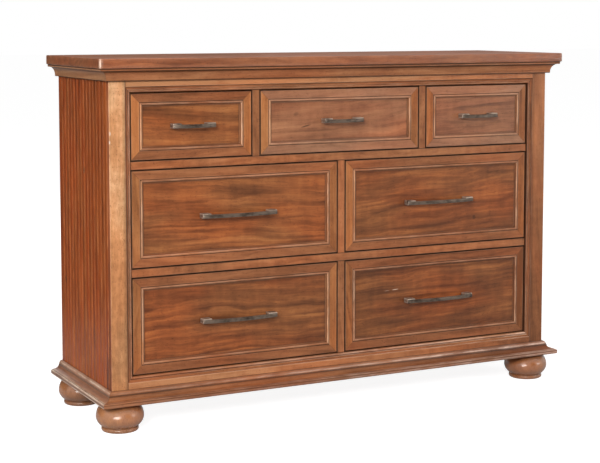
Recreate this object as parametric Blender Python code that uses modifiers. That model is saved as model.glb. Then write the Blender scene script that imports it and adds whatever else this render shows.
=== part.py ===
"""A dresser on bun feet: three small drawers over two rows of two wide ones.

Metres, +Z up. The front looks along -Y and the floor is at z = 0. The origin lies under the middle of
the top board. Depths are counted back from the front plane, which is the face of the two stiles.
"""
import math

import bmesh
import bpy
from mathutils import Matrix, Vector

# The gap between two pieces that touch, and how far a cut runs past what it cuts
SEAM = 0.0003
OVERRUN = 0.004
WELD = 0.00002
FLAT_ANGLE = math.radians(0.5)

# Case and top
CASE_WIDTH = 1.350
CASE_DEPTH = 0.406
TOP_OVERHANG = 0.035
TOP_THICKNESS = 0.025
TOP_EASE = 0.0022
BASE_BOARD_THICKNESS = 0.022
SIDE_THICKNESS = 0.018
BACK_THICKNESS = 0.006
DUST_PANEL_THICKNESS = 0.012

# Front frame: stiles, rails and the moulding that frames the drawer bank
STILE_WIDTH = 0.045
STILE_DEPTH = 0.038
STILE_EASE = 0.0016
RAIL_THICKNESS = 0.022
RAIL_EASE = 0.0006
TOP_RAIL_SHOWN = 0.015
BOTTOM_RAIL_SHOWN = 0.016
OPENING_MOULDING_WIDTH = 0.015
BANK_SETBACK = 0.010

# The drawer bank: openings, and the rails and dividers between them
SMALL_ROW_HEIGHT = 0.177
WIDE_ROW_HEIGHT = 0.257
ROW_RAIL_HEIGHT = 0.022
ROW_RAIL_DEPTH = 0.050
DIVIDER_WIDTH = 0.022
OUTER_SMALL_OPENING = 0.345

# Beadboard grooves of the side panels
GROOVE_PITCH = 0.0254
GROOVE_WIDTH = 0.0044
GROOVE_DEPTH = 0.0026

# Cornice under the top
CORNICE_HEIGHT = 0.033
CORNICE_REACH = 0.030
CORNICE_FILLET = 0.0065
CORNICE_FOOT_REACH = 0.0095
CORNICE_FOOT_HEIGHT = 0.003
CORNICE_LIP = 0.004

# Base moulding
BASE_HEIGHT = 0.037
BASE_REACH = 0.033
BASE_NOSE_HEIGHT = 0.0125
BASE_NOSE_EASE = 0.0025
BASE_STEP = 0.0045
BASE_BEAD_REACH = 0.0095
BASE_BEAD_HEIGHT = 0.0085
BASE_QUIRK = 0.0012

# Bun feet
FOOT_HEIGHT = 0.074
FOOT_BULGE_RADIUS = 0.0625
FOOT_BULGE_HEIGHT = 0.038
FOOT_TOP_RADIUS = 0.045
FOOT_NECK_RADIUS = 0.046
FOOT_NECK_HEIGHT = 0.0115
FOOT_RING_RADIUS = 0.0485
FOOT_SOLE_RADIUS = 0.0445
FOOT_INSET = 0.034
FOOT_STEPS = 28
FOOT_ARC_POINTS = 9

# Drawers
DRAWER_GAP = 0.0025
FRONT_THICKNESS = 0.022
FRONT_FRAME = 0.0245
FRONT_BEAD_WIDTH = 0.0095
FRONT_PANEL_SINK = 0.005
BOX_SIDE_CLEARANCE = 0.003
BOX_BACK_CLEARANCE = 0.012
BOX_HEADROOM = 0.045
BOX_WALL = 0.012
BOTTOM_THICKNESS = 0.006
BOTTOM_LIFT = 0.012
BOTTOM_GROOVE_DEPTH = 0.005

# Pulls and their screws
WIDE_PULL_SPACING = 0.192
SMALL_PULL_SPACING = 0.096
PULL_FOOT_WIDTH = 0.025
PULL_REACH = 0.024
PULL_BOW = 0.010
BAR_HEIGHT = 0.0125
BAR_THICKNESS = 0.0055
BAR_EASE = 0.0007
BAR_SEGMENTS = 12
SCREW_RADIUS = 0.002
SCREW_HOLE_RADIUS = 0.0026
SCREW_SIDES = 12
SCREW_GRIP = 0.006
SCREW_HEAD_RADIUS = 0.004
SCREW_HEAD_HEIGHT = 0.0025

# Outlines as shares of the sizes that they follow: (across, inward) of the bead round a drawer's panel
FRONT_BEAD_SHARES = ((0.06, 0.20), (0.16, -0.12), (0.30, -0.28), (0.46, -0.30), (0.62, -0.16),
                     (0.76, 0.16), (0.88, 0.62), (1.00, 1.00))
# (across from the drawers, forward from the bank) of the opening moulding's face
OPENING_FACE_SHARES = ((0.00, 0.12), (0.06, 0.34), (0.18, 0.52), (0.32, 0.60), (0.46, 0.54), (0.54, 0.44),
                       (0.60, 0.52), (0.72, 0.62), (0.86, 0.76), (1.00, 0.84))
COVE_STEPS = 8
BEAD_STEPS = 5
EASE_STEPS = 2

# Places worked out from the sizes above
HALF_CASE = CASE_WIDTH / 2
FRONT_Y = (TOP_OVERHANG - CASE_DEPTH) / 2
HALF_FRAME = HALF_CASE - STILE_WIDTH
HALF_BANK = HALF_FRAME - OPENING_MOULDING_WIDTH
BASE_BOARD_Z = FOOT_HEIGHT + SEAM
FRAME_FOOT_Z = BASE_BOARD_Z + BASE_BOARD_THICKNESS + SEAM
BOTTOM_RAIL_TOP_Z = FOOT_HEIGHT + BASE_HEIGHT + BOTTOM_RAIL_SHOWN
BOTTOM_ROW_Z = BOTTOM_RAIL_TOP_Z + OPENING_MOULDING_WIDTH
LOWER_RAIL_Z = BOTTOM_ROW_Z + WIDE_ROW_HEIGHT
MIDDLE_ROW_Z = LOWER_RAIL_Z + ROW_RAIL_HEIGHT
UPPER_RAIL_Z = MIDDLE_ROW_Z + WIDE_ROW_HEIGHT
TOP_ROW_Z = UPPER_RAIL_Z + ROW_RAIL_HEIGHT
BANK_TOP_Z = TOP_ROW_Z + SMALL_ROW_HEIGHT
TOP_RAIL_Z = BANK_TOP_Z + OPENING_MOULDING_WIDTH
CORNICE_Z = TOP_RAIL_Z + TOP_RAIL_SHOWN
TOP_BOARD_Z = CORNICE_Z + CORNICE_HEIGHT
FRAME_TOP_Z = TOP_BOARD_Z - SEAM
BACK_FACE = CASE_DEPTH - BACK_THICKNESS - SEAM
BOX_BACK = BACK_FACE - BOX_BACK_CLEARANCE
INNER_SMALL_HALF = HALF_BANK - OUTER_SMALL_OPENING - DIVIDER_WIDTH

# Finishes: colour, roughness, metallic
FINISHES = {
    "stained_wood": ((0.33, 0.125, 0.050), 0.38, 0.0),
    "stile_wood": ((0.50, 0.26, 0.120), 0.40, 0.0),
    "front_wood": ((0.30, 0.105, 0.040), 0.36, 0.0),
    "side_wood": ((0.24, 0.080, 0.030), 0.42, 0.0),
    "moulding_wood": ((0.28, 0.110, 0.048), 0.36, 0.0),
    "foot_wood": ((0.36, 0.150, 0.065), 0.28, 0.0),
    "drawer_box_wood": ((0.62, 0.44, 0.26), 0.55, 0.0),
    "panel_board": ((0.42, 0.28, 0.16), 0.70, 0.0),
    "aged_metal": ((0.16, 0.13, 0.105), 0.36, 1.0),
}


def clear_scene():
    """Take out whatever the file holds."""
    for thing in list(bpy.data.objects):
        bpy.data.objects.remove(thing, do_unlink=True)


def new_collection(name):
    """Return a fresh collection in the scene."""
    group = bpy.data.collections.new(name)
    bpy.context.scene.collection.children.link(group)
    return group


def dress(thing, finish):
    """Give an object its own material with the finish's values."""
    colour, roughness, metallic = FINISHES[finish]
    material = bpy.data.materials.new(thing.name + "_" + finish)
    material.use_nodes = True
    shader = material.node_tree.nodes["Principled BSDF"]
    shader.inputs["Base Color"].default_value = (*colour, 1.0)
    shader.inputs["Roughness"].default_value = roughness
    shader.inputs["Metallic"].default_value = metallic
    thing.data.materials.clear()
    thing.data.materials.append(material)


def add_piece(name, mesh, finish, parent=None):
    """Add one sub-part of the dresser."""
    thing = bpy.data.objects.new(name, mesh)
    parts.objects.link(thing)
    thing.parent = parent
    dress(thing, finish)
    return thing


def add_cutter(name, mesh, parent=None):
    """Add a hidden shape that is cut out of a piece or joined to one."""
    thing = bpy.data.objects.new(name, mesh)
    cutters.objects.link(thing)
    thing.parent = parent
    thing.hide_render = True
    thing.display_type = "WIRE"
    return thing


def box_mesh(name, size):
    """Return a box centred on its origin."""
    mesh = bpy.data.meshes.new(name)
    shape = bmesh.new()
    bmesh.ops.create_cube(shape, size=1.0)
    bmesh.ops.scale(shape, vec=Vector(size), verts=shape.verts)
    shape.to_mesh(mesh)
    shape.free()
    return mesh


def outline_mesh(name, points, length):
    """Return a flat outline in XY, extruded along Z and centred there, with clean faces."""
    curve = bpy.data.curves.new(name, "CURVE")
    curve.dimensions = "2D"
    curve.fill_mode = "BOTH"
    curve.extrude = length / 2
    spline = curve.splines.new("POLY")
    spline.points.add(len(points) - 1)
    for corner, (across, up) in zip(spline.points, points):
        corner.co = (across, up, 0.0, 1.0)
    spline.use_cyclic_u = True
    outline = bpy.data.objects.new(name, curve)
    cutters.objects.link(outline)
    bpy.context.view_layer.update()
    seen = outline.evaluated_get(bpy.context.evaluated_depsgraph_get())
    mesh = bpy.data.meshes.new_from_object(seen)
    bpy.data.objects.remove(outline, do_unlink=True)
    bpy.data.curves.remove(curve)
    shape = bmesh.new()
    shape.from_mesh(mesh)
    bmesh.ops.remove_doubles(shape, verts=shape.verts, dist=WELD)
    bmesh.ops.dissolve_limit(shape, angle_limit=FLAT_ANGLE, verts=shape.verts, edges=shape.edges)
    bmesh.ops.recalc_face_normals(shape, faces=shape.faces)
    shape.to_mesh(mesh)
    shape.free()
    mesh.name = name
    return mesh


def face_along(thing, first, second):
    """Turn an object so that its local X and Y run along two world directions."""
    first = Vector(first)
    second = Vector(second)
    turned_axes = Matrix((first, second, first.cross(second))).transposed()
    thing.rotation_euler = turned_axes.to_euler()


def ease_edges(thing, width, segments):
    """Round an object's edges."""
    bevel = thing.modifiers.new("eased_edges", "BEVEL")
    bevel.width = width
    bevel.segments = segments
    bevel.limit_method = "ANGLE"


def board(name, low, high, finish, ease=0.0, segments=EASE_STEPS):
    """A board between two corners, each given as (x, depth behind the front plane, height)."""
    low = Vector(low)
    high = Vector(high)
    thing = add_piece(name, box_mesh(name, high - low), finish)
    thing.location = (low + high) / 2 + Vector((0, FRONT_Y, 0))
    if ease:
        ease_edges(thing, ease, segments)
    return thing


def subtract(thing, cutter):
    """Cut one shape out of another."""
    cut = thing.modifiers.new("cut", "BOOLEAN")
    cut.operation = "DIFFERENCE"
    cut.solver = "EXACT"
    cut.object = cutter


def join(thing, other):
    """Join another shape to an object as one body."""
    union = thing.modifiers.new("join", "BOOLEAN")
    union.operation = "UNION"
    union.solver = "EXACT"
    union.object = other


def quarter(centre, radii, start, end, steps):
    """Return points on an ellipse's arc between two angles in degrees, both ends included."""
    points = []
    for step in range(steps + 1):
        angle = math.radians(start + (end - start) * step / steps)
        points.append((centre[0] + radii[0] * math.cos(angle), centre[1] + radii[1] * math.sin(angle)))
    return points


def moulding(name, outline, length, low_mitre, high_mitre, finish):
    """A length of moulding along local Z whose mitred ends run on as far as the outline stands out.

    The outline is (outward, up). Each mitred end stands back by one seam from its neighbour.
    """
    mesh = outline_mesh(name, outline, length)
    for corner in mesh.vertices:
        if corner.co.z > 0:
            corner.co.z += high_mitre * (corner.co.x - SEAM)
        else:
            corner.co.z -= low_mitre * (corner.co.x - SEAM)
    return add_piece(name, mesh, finish)


def cornice_outline():
    """Foot fillet, cove and top fillet, from the case outward and from the cove's foot up."""
    cove_top = CORNICE_HEIGHT - SEAM - CORNICE_FILLET
    cove_reach = CORNICE_REACH - CORNICE_LIP
    cove = quarter((cove_reach, CORNICE_FOOT_HEIGHT),
                   (cove_reach - CORNICE_FOOT_REACH, cove_top - CORNICE_FOOT_HEIGHT), 180, 90, COVE_STEPS)
    lip = quarter((CORNICE_REACH - CORNICE_LIP / 2, cove_top + CORNICE_LIP / 2),
                  (CORNICE_LIP / 2, CORNICE_LIP / 2), -90, 0, EASE_STEPS)
    foot = quarter((CORNICE_FOOT_REACH - CORNICE_FOOT_HEIGHT / 2, CORNICE_FOOT_HEIGHT / 2),
                   (CORNICE_FOOT_HEIGHT / 2, CORNICE_FOOT_HEIGHT / 2), -90, 0, EASE_STEPS)
    top = CORNICE_HEIGHT - SEAM
    return [(SEAM, 0.0), *foot, *cove, *lip, (CORNICE_REACH, top), (SEAM, top)]


def base_outline():
    """Rounded nose, step, cove and bead, from the case outward and from the nose up."""
    nose_low = quarter((BASE_REACH - BASE_NOSE_EASE, BASE_NOSE_EASE),
                       (BASE_NOSE_EASE, BASE_NOSE_EASE), -90, 0, EASE_STEPS)
    nose_high = quarter((BASE_REACH - BASE_NOSE_EASE, BASE_NOSE_HEIGHT - BASE_NOSE_EASE),
                        (BASE_NOSE_EASE, BASE_NOSE_EASE), 0, 90, EASE_STEPS)
    bead_low = BASE_HEIGHT - BASE_BEAD_HEIGHT
    cove_reach = BASE_REACH - BASE_STEP
    cove_low = BASE_NOSE_HEIGHT + BASE_QUIRK
    cove_top = bead_low - BASE_QUIRK
    cove_in = BASE_BEAD_REACH + BASE_QUIRK
    cove = quarter((cove_reach, cove_top), (cove_reach - cove_in, cove_top - cove_low), 270, 180, COVE_STEPS)
    bead = quarter((SEAM, bead_low), (BASE_BEAD_REACH - SEAM, BASE_BEAD_HEIGHT), 0, 90, BEAD_STEPS)
    step = [(cove_reach, BASE_NOSE_HEIGHT)]
    return [(SEAM, 0.0), *nose_low, *nose_high, *step, *cove, (cove_in, bead_low), *bead]


def opening_outline():
    """The opening moulding: local X runs away from the drawers, local Y forward from its back."""
    shown = RAIL_THICKNESS - BANK_SETBACK
    face = []
    for across, forward in OPENING_FACE_SHARES:
        reach = across * (OPENING_MOULDING_WIDTH - SEAM)
        face.append((reach, shown + forward * BANK_SETBACK))
    return [(OPENING_MOULDING_WIDTH - SEAM, 0.0), (0.0, 0.0), *face]


def run_round_case(name, outline, height_z):
    """Three mitred lengths of one moulding, on the front and both sides of the case."""
    back_y = FRONT_Y + CASE_DEPTH
    front = moulding(name + "_front", outline, CASE_WIDTH, 1, 1, "moulding_wood")
    front.location = (0, FRONT_Y, height_z)
    face_along(front, (0, -1, 0), (0, 0, 1))
    for side, label, mitres in ((-1, "_left", (1, 0)), (1, "_right", (0, 1))):
        length = moulding(name + label, outline, CASE_DEPTH, *mitres, "moulding_wood")
        length.location = (side * HALF_CASE, (FRONT_Y + back_y) / 2, height_z)
        face_along(length, (side, 0, 0), (0, 0, 1))


def build_opening_moulding():
    """Four mitred lengths that frame the drawer bank."""
    outline = opening_outline()
    height = BANK_TOP_Z - BOTTOM_ROW_Z
    middle_z = (BANK_TOP_Z + BOTTOM_ROW_Z) / 2
    back_y = FRONT_Y + RAIL_THICKNESS
    runs = (("top", 2 * HALF_BANK, (0, 0, 1), (0, back_y, BANK_TOP_Z)),
            ("bottom", 2 * HALF_BANK, (0, 0, -1), (0, back_y, BOTTOM_ROW_Z)),
            ("left", height, (-1, 0, 0), (-HALF_BANK, back_y, middle_z)),
            ("right", height, (1, 0, 0), (HALF_BANK, back_y, middle_z)))
    for label, length, outward, place in runs:
        strip = moulding("opening_moulding_" + label, outline, length - 2 * SEAM, 1, 1, "moulding_wood")
        strip.location = place
        face_along(strip, outward, (0, -1, 0))


def build_side(side, label):
    """One side panel, grooved outside every GROOVE_PITCH behind the stile."""
    inner = -SIDE_THICKNESS
    start = STILE_DEPTH + SEAM
    outline = [(inner, CASE_DEPTH), (inner, start), (0.0, start)]
    groove = start + GROOVE_PITCH
    while groove < CASE_DEPTH - GROOVE_WIDTH:
        outline.append((0.0, groove - GROOVE_WIDTH / 2))
        outline.append((-GROOVE_DEPTH, groove))
        outline.append((0.0, groove + GROOVE_WIDTH / 2))
        groove += GROOVE_PITCH
    outline.append((0.0, CASE_DEPTH))
    name = label + "_side_panel"
    height = FRAME_TOP_Z - FRAME_FOOT_Z
    mesh = outline_mesh(name, [(side * across, back) for across, back in outline], height)
    panel = add_piece(name, mesh, "side_wood")
    panel.location = (side * HALF_CASE, FRONT_Y, (FRAME_TOP_Z + FRAME_FOOT_Z) / 2)


def build_row_rail(name, low_z):
    """A rail between two rows: narrow between the opening mouldings, wider behind them."""
    narrow = HALF_BANK - SEAM
    wide = HALF_FRAME - SEAM
    shoulder = RAIL_THICKNESS + SEAM
    back = BANK_SETBACK + ROW_RAIL_DEPTH
    outline = [(-narrow, BANK_SETBACK), (narrow, BANK_SETBACK), (narrow, shoulder), (wide, shoulder),
               (wide, back), (-wide, back), (-wide, shoulder), (-narrow, shoulder)]
    mesh = outline_mesh(name, outline, ROW_RAIL_HEIGHT)
    rail = add_piece(name, mesh, "stained_wood")
    rail.location = (0, FRONT_Y, low_z + ROW_RAIL_HEIGHT / 2)
    ease_edges(rail, RAIL_EASE, 1)


def build_bottom_rail():
    """The rail above the base: its back part rises behind the opening moulding to carry the drawers."""
    rise = RAIL_THICKNESS + SEAM
    rail_top = BOTTOM_RAIL_TOP_Z - SEAM
    outline = [(0.0, FRAME_FOOT_Z), (STILE_DEPTH, FRAME_FOOT_Z), (STILE_DEPTH, BOTTOM_ROW_Z),
               (rise, BOTTOM_ROW_Z), (rise, rail_top), (0.0, rail_top)]
    mesh = outline_mesh("bottom_rail", outline, 2 * (HALF_FRAME - SEAM))
    rail = add_piece("bottom_rail", mesh, "stained_wood")
    rail.location = (0, FRONT_Y, 0)
    face_along(rail, (0, 1, 0), (0, 0, 1))
    ease_edges(rail, RAIL_EASE, 1)


def build_case():
    """Everything that stays still."""
    reach = HALF_CASE + TOP_OVERHANG
    board("top_board", (-reach, -TOP_OVERHANG, TOP_BOARD_Z),
          (reach, CASE_DEPTH, TOP_BOARD_Z + TOP_THICKNESS), "stained_wood", TOP_EASE)
    board("base_board", (-HALF_CASE, 0, BASE_BOARD_Z),
          (HALF_CASE, CASE_DEPTH, BASE_BOARD_Z + BASE_BOARD_THICKNESS), "stained_wood")
    for side, label in ((-1, "left"), (1, "right")):
        near = side * HALF_CASE
        far = side * HALF_FRAME
        board(label + "_stile", (min(near, far), 0, FRAME_FOOT_Z),
              (max(near, far), STILE_DEPTH, FRAME_TOP_Z), "stile_wood", STILE_EASE)
        build_side(side, label)
    board("top_rail", (SEAM - HALF_FRAME, 0, TOP_RAIL_Z + SEAM),
          (HALF_FRAME - SEAM, RAIL_THICKNESS, FRAME_TOP_Z), "stained_wood", RAIL_EASE, 1)
    build_bottom_rail()
    build_row_rail("lower_row_rail", LOWER_RAIL_Z)
    build_row_rail("upper_row_rail", UPPER_RAIL_Z)
    build_opening_moulding()
    half_inside = HALF_CASE - SIDE_THICKNESS - SEAM
    board("back_panel", (-half_inside, CASE_DEPTH - BACK_THICKNESS, FRAME_FOOT_Z),
          (half_inside, CASE_DEPTH, FRAME_TOP_Z), "panel_board")
    rail_back = BANK_SETBACK + ROW_RAIL_DEPTH + SEAM
    for label, row_z, start in (("lower", BOTTOM_ROW_Z, STILE_DEPTH + SEAM),
                                ("middle", MIDDLE_ROW_Z, rail_back),
                                ("upper", TOP_ROW_Z, rail_back)):
        board(label + "_dust_panel", (-half_inside, start, row_z - DUST_PANEL_THICKNESS),
              (half_inside, BACK_FACE, row_z), "panel_board")
    half_post = DIVIDER_WIDTH / 2
    post_middle = INNER_SMALL_HALF + half_post
    dividers = (("top_left_divider", -post_middle, TOP_ROW_Z, BANK_TOP_Z),
                ("top_right_divider", post_middle, TOP_ROW_Z, BANK_TOP_Z),
                ("middle_divider", 0.0, MIDDLE_ROW_Z, UPPER_RAIL_Z),
                ("bottom_divider", 0.0, BOTTOM_ROW_Z, LOWER_RAIL_Z))
    for name, middle, low_z, high_z in dividers:
        board(name, (middle - half_post, BANK_SETBACK, low_z + SEAM),
              (middle + half_post, BACK_FACE, high_z - SEAM), "stained_wood", RAIL_EASE, 1)
    run_round_case("cornice", cornice_outline(), CORNICE_Z)
    run_round_case("base_moulding", base_outline(), BASE_BOARD_Z)


def foot_profile():
    """The turned outline of a bun foot as (radius, height), down its outer side."""
    top_turn = math.degrees(math.acos(FOOT_TOP_RADIUS / FOOT_BULGE_RADIUS))
    neck_turn = math.degrees(math.acos(FOOT_NECK_RADIUS / FOOT_BULGE_RADIUS))
    top_rise = (FOOT_HEIGHT - FOOT_BULGE_HEIGHT) / math.sin(math.radians(top_turn))
    neck_drop = (FOOT_BULGE_HEIGHT - FOOT_NECK_HEIGHT) / math.sin(math.radians(neck_turn))
    middle = (0.0, FOOT_BULGE_HEIGHT)
    upper = quarter(middle, (FOOT_BULGE_RADIUS, top_rise), top_turn, 0, FOOT_ARC_POINTS)
    lower = quarter(middle, (FOOT_BULGE_RADIUS, neck_drop), 0, -neck_turn, FOOT_ARC_POINTS)
    ring_swell = FOOT_RING_RADIUS - FOOT_SOLE_RADIUS
    ring = quarter((FOOT_SOLE_RADIUS, FOOT_NECK_HEIGHT / 2), (ring_swell, FOOT_NECK_HEIGHT / 2), 60, -90,
                   BEAD_STEPS)
    return [(0.0, FOOT_HEIGHT), *upper, *lower[1:], *ring, (0.0, 0.0)]


def turned_mesh(name, profile):
    """Return a profile's points and edges, in the XZ plane."""
    mesh = bpy.data.meshes.new(name)
    points = [(radius, 0.0, height) for radius, height in profile]
    mesh.from_pydata(points, [(step, step + 1) for step in range(len(points) - 1)], [])
    return mesh


def spin(thing, steps):
    """Turn a profile about its Z axis into a solid."""
    lathe = thing.modifiers.new("turned", "SCREW")
    lathe.angle = math.tau
    lathe.steps = steps
    lathe.render_steps = steps
    lathe.use_merge_vertices = True
    lathe.merge_threshold = WELD
    lathe.use_smooth_shade = True


def build_feet():
    """Four bun feet: the back pair's bulge is flush with the back of the case."""
    across = HALF_CASE - FOOT_INSET
    front = FRONT_Y + FOOT_INSET
    back = FRONT_Y + CASE_DEPTH - FOOT_BULGE_RADIUS
    mesh = turned_mesh("bun_foot", foot_profile())
    for label, x, y in (("front_left_foot", -across, front), ("front_right_foot", across, front),
                        ("back_left_foot", -across, back), ("back_right_foot", across, back)):
        foot = add_piece(label, mesh.copy(), "foot_wood")
        foot.location = (x, y, 0)
        spin(foot, FOOT_STEPS)


def front_mesh(name, width, height):
    """A drawer front: one board whose face is inset step by step to frame, bead and sunk panel."""
    mesh = box_mesh(name, (width, FRONT_THICKNESS, height))
    shape = bmesh.new()
    shape.from_mesh(mesh)
    face = min(shape.faces, key=lambda side: side.calc_center_median().y)
    steps = [(FRONT_FRAME, 0.0)]
    last_across = 0.0
    last_inward = 0.0
    for across, inward in FRONT_BEAD_SHARES:
        steps.append(((across - last_across) * FRONT_BEAD_WIDTH, (inward - last_inward) * FRONT_PANEL_SINK))
        last_across = across
        last_inward = inward
    for inset, sink in steps:
        bmesh.ops.inset_region(shape, faces=[face], thickness=inset, depth=-sink, use_even_offset=True)
    shape.to_mesh(mesh)
    shape.free()
    return mesh


def box_outline(half_width, start, end):
    """The plan of a drawer box: two sides and a back."""
    inner = half_width - BOX_WALL
    return [(-half_width, start), (-half_width, end), (half_width, end), (half_width, start),
            (inner, start), (inner, end - BOX_WALL), (-inner, end - BOX_WALL), (-inner, start)]


def pull_outline(half_spacing):
    """The plan of a pull from the panel's face forward: bowed bar and two feet."""
    half_length = half_spacing + PULL_FOOT_WIDTH / 2
    half_gap = half_spacing - PULL_FOOT_WIDTH / 2

    def bowed(x, reach):
        return (x, reach + PULL_BOW * (1 - (x / half_length) ** 2))

    outer = []
    inner = []
    for step in range(BAR_SEGMENTS + 1):
        turn = 2 * step / BAR_SEGMENTS - 1
        outer.append(bowed(turn * half_length, PULL_REACH))
        inner.append(bowed(-turn * half_gap, PULL_REACH - BAR_THICKNESS))
    return [(half_length, SEAM), (half_gap, SEAM), *inner, (-half_gap, SEAM), (-half_length, SEAM), *outer]


def screw_profile():
    """A screw's outline as (radius, height) with the pull's seat at 0 and its head in the drawer."""
    panel = FRONT_THICKNESS - FRONT_PANEL_SINK
    seat = -panel - SEAM
    head = seat - SCREW_HEAD_HEIGHT
    return [(0.0, SCREW_GRIP), (SCREW_RADIUS, SCREW_GRIP), (SCREW_RADIUS, seat), (SCREW_HEAD_RADIUS, seat),
            (SCREW_HEAD_RADIUS, head), (0.0, head)]


def build_pull(name, slide, height, half_spacing, front):
    """A pull at mid height, its two screws joined to it, and their holes in the drawer front."""
    seat_y = FRONT_PANEL_SINK
    pull = add_piece(name + "_pull", outline_mesh(name + "_pull", pull_outline(half_spacing), BAR_HEIGHT),
                     "aged_metal", slide)
    pull.location = (0, seat_y, height)
    pull.rotation_euler = (math.pi, 0, 0)
    ease_edges(pull, BAR_EASE, 1)
    for side, label in ((-1, "_left"), (1, "_right")):
        screw = add_cutter(name + label + "_screw", turned_mesh("screw", screw_profile()), slide)
        screw.location = (side * half_spacing, seat_y, height)
        screw.rotation_euler = (math.pi / 2, 0, 0)
        spin(screw, SCREW_SIDES)
        join(pull, screw)
        hole_shape = bmesh.new()
        bmesh.ops.create_cone(hole_shape, cap_ends=True, segments=SCREW_SIDES, radius1=SCREW_HOLE_RADIUS,
                              radius2=SCREW_HOLE_RADIUS, depth=FRONT_THICKNESS + 2 * OVERRUN)
        hole_mesh = bpy.data.meshes.new("screw_hole")
        hole_shape.to_mesh(hole_mesh)
        hole_shape.free()
        hole = add_cutter(name + label + "_screw_hole", hole_mesh, slide)
        hole.location = (side * half_spacing, FRONT_THICKNESS / 2, height)
        hole.rotation_euler = (math.pi / 2, 0, 0)
        subtract(front, hole)


def build_drawer(name, middle_x, row_z, opening_width, opening_height, spacing):
    """One drawer on its own slide, closed: front, box, bottom and pull."""
    slide = bpy.data.objects.new(name + "_drawer_slide", None)
    parts.objects.link(slide)
    slide.location = (middle_x, FRONT_Y + BANK_SETBACK, row_z)
    name = name + "_drawer"
    middle_z = opening_height / 2

    front = add_piece(name + "_front", front_mesh(name + "_front", opening_width - 2 * DRAWER_GAP,
                                                  opening_height - 2 * DRAWER_GAP), "front_wood", slide)
    front.location = (0, FRONT_THICKNESS / 2, middle_z)

    start = FRONT_THICKNESS + SEAM
    end = BOX_BACK - BANK_SETBACK
    half_width = opening_width / 2 - BOX_SIDE_CLEARANCE
    height = opening_height - BOX_HEADROOM
    box = add_piece(name + "_box", outline_mesh(name + "_box", box_outline(half_width, start, end), height),
                    "drawer_box_wood", slide)
    box.location = (0, 0, SEAM + height / 2)

    inner = half_width - BOX_WALL
    groove_half = inner + BOTTOM_GROOVE_DEPTH
    groove_end = end - BOX_WALL + BOTTOM_GROOVE_DEPTH
    groove_start = start - OVERRUN
    groove = add_cutter(name + "_bottom_groove",
                        box_mesh("bottom_groove", (2 * groove_half, groove_end - groove_start,
                                                   BOTTOM_THICKNESS + 2 * SEAM)), slide)
    bottom_z = BOTTOM_LIFT + BOTTOM_THICKNESS / 2
    groove.location = (0, (groove_start + groove_end) / 2, bottom_z)
    subtract(box, groove)

    bottom = add_piece(name + "_bottom",
                       box_mesh(name + "_bottom", (2 * (groove_half - SEAM), groove_end - SEAM - start,
                                                   BOTTOM_THICKNESS)), "drawer_box_wood", slide)
    bottom.location = (0, (start + groove_end - SEAM) / 2, bottom_z)
    build_pull(name, slide, middle_z, spacing / 2, front)


def build_drawers():
    """Three small drawers over two rows of two wide ones."""
    outer_x = HALF_BANK - OUTER_SMALL_OPENING / 2
    wide = HALF_BANK - DIVIDER_WIDTH / 2
    wide_x = HALF_BANK - wide / 2
    small_row = (TOP_ROW_Z, SMALL_ROW_HEIGHT, SMALL_PULL_SPACING)
    middle_row = (MIDDLE_ROW_Z, WIDE_ROW_HEIGHT, WIDE_PULL_SPACING)
    bottom_row = (BOTTOM_ROW_Z, WIDE_ROW_HEIGHT, WIDE_PULL_SPACING)
    places = (("top_left", -outer_x, OUTER_SMALL_OPENING, small_row),
              ("top_middle", 0.0, 2 * INNER_SMALL_HALF, small_row),
              ("top_right", outer_x, OUTER_SMALL_OPENING, small_row),
              ("middle_left", -wide_x, wide, middle_row),
              ("middle_right", wide_x, wide, middle_row),
              ("bottom_left", -wide_x, wide, bottom_row),
              ("bottom_right", wide_x, wide, bottom_row))
    for name, middle_x, width, (row_z, height, spacing) in places:
        build_drawer(name, middle_x, row_z, width, height, spacing)


clear_scene()
parts = new_collection("dresser")
cutters = new_collection("cutters")
build_case()
build_feet()
build_drawers()
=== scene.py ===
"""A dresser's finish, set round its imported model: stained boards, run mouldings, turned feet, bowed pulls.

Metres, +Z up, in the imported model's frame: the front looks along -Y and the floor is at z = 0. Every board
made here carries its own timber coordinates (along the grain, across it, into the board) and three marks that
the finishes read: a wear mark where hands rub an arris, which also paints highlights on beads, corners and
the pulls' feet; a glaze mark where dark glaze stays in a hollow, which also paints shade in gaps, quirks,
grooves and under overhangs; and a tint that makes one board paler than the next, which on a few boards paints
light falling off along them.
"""

import math
import random

import bmesh
import bpy
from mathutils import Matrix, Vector


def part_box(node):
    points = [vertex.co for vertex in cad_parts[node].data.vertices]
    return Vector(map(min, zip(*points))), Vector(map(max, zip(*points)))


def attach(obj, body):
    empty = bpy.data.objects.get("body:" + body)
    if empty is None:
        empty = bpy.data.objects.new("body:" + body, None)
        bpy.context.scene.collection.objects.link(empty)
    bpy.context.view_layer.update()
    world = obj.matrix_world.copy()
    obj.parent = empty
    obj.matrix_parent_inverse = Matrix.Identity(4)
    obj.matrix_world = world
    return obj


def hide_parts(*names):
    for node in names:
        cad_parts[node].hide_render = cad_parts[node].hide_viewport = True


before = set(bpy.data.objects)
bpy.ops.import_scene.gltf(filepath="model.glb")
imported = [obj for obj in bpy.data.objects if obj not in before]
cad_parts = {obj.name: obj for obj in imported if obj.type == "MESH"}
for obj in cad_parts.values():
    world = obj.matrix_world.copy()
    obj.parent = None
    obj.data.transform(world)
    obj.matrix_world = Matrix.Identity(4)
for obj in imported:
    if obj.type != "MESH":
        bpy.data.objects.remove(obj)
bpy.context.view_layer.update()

UP = (0, 0, 1)
DOWN = (0, 0, -1)
FORWARD = (0, -1, 0)
LEFT = (-1, 0, 0)
RIGHT = (1, 0, 0)
# The gap between two pieces that touch
SEAM = 0.0003
ARC_STEPS = 14

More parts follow.
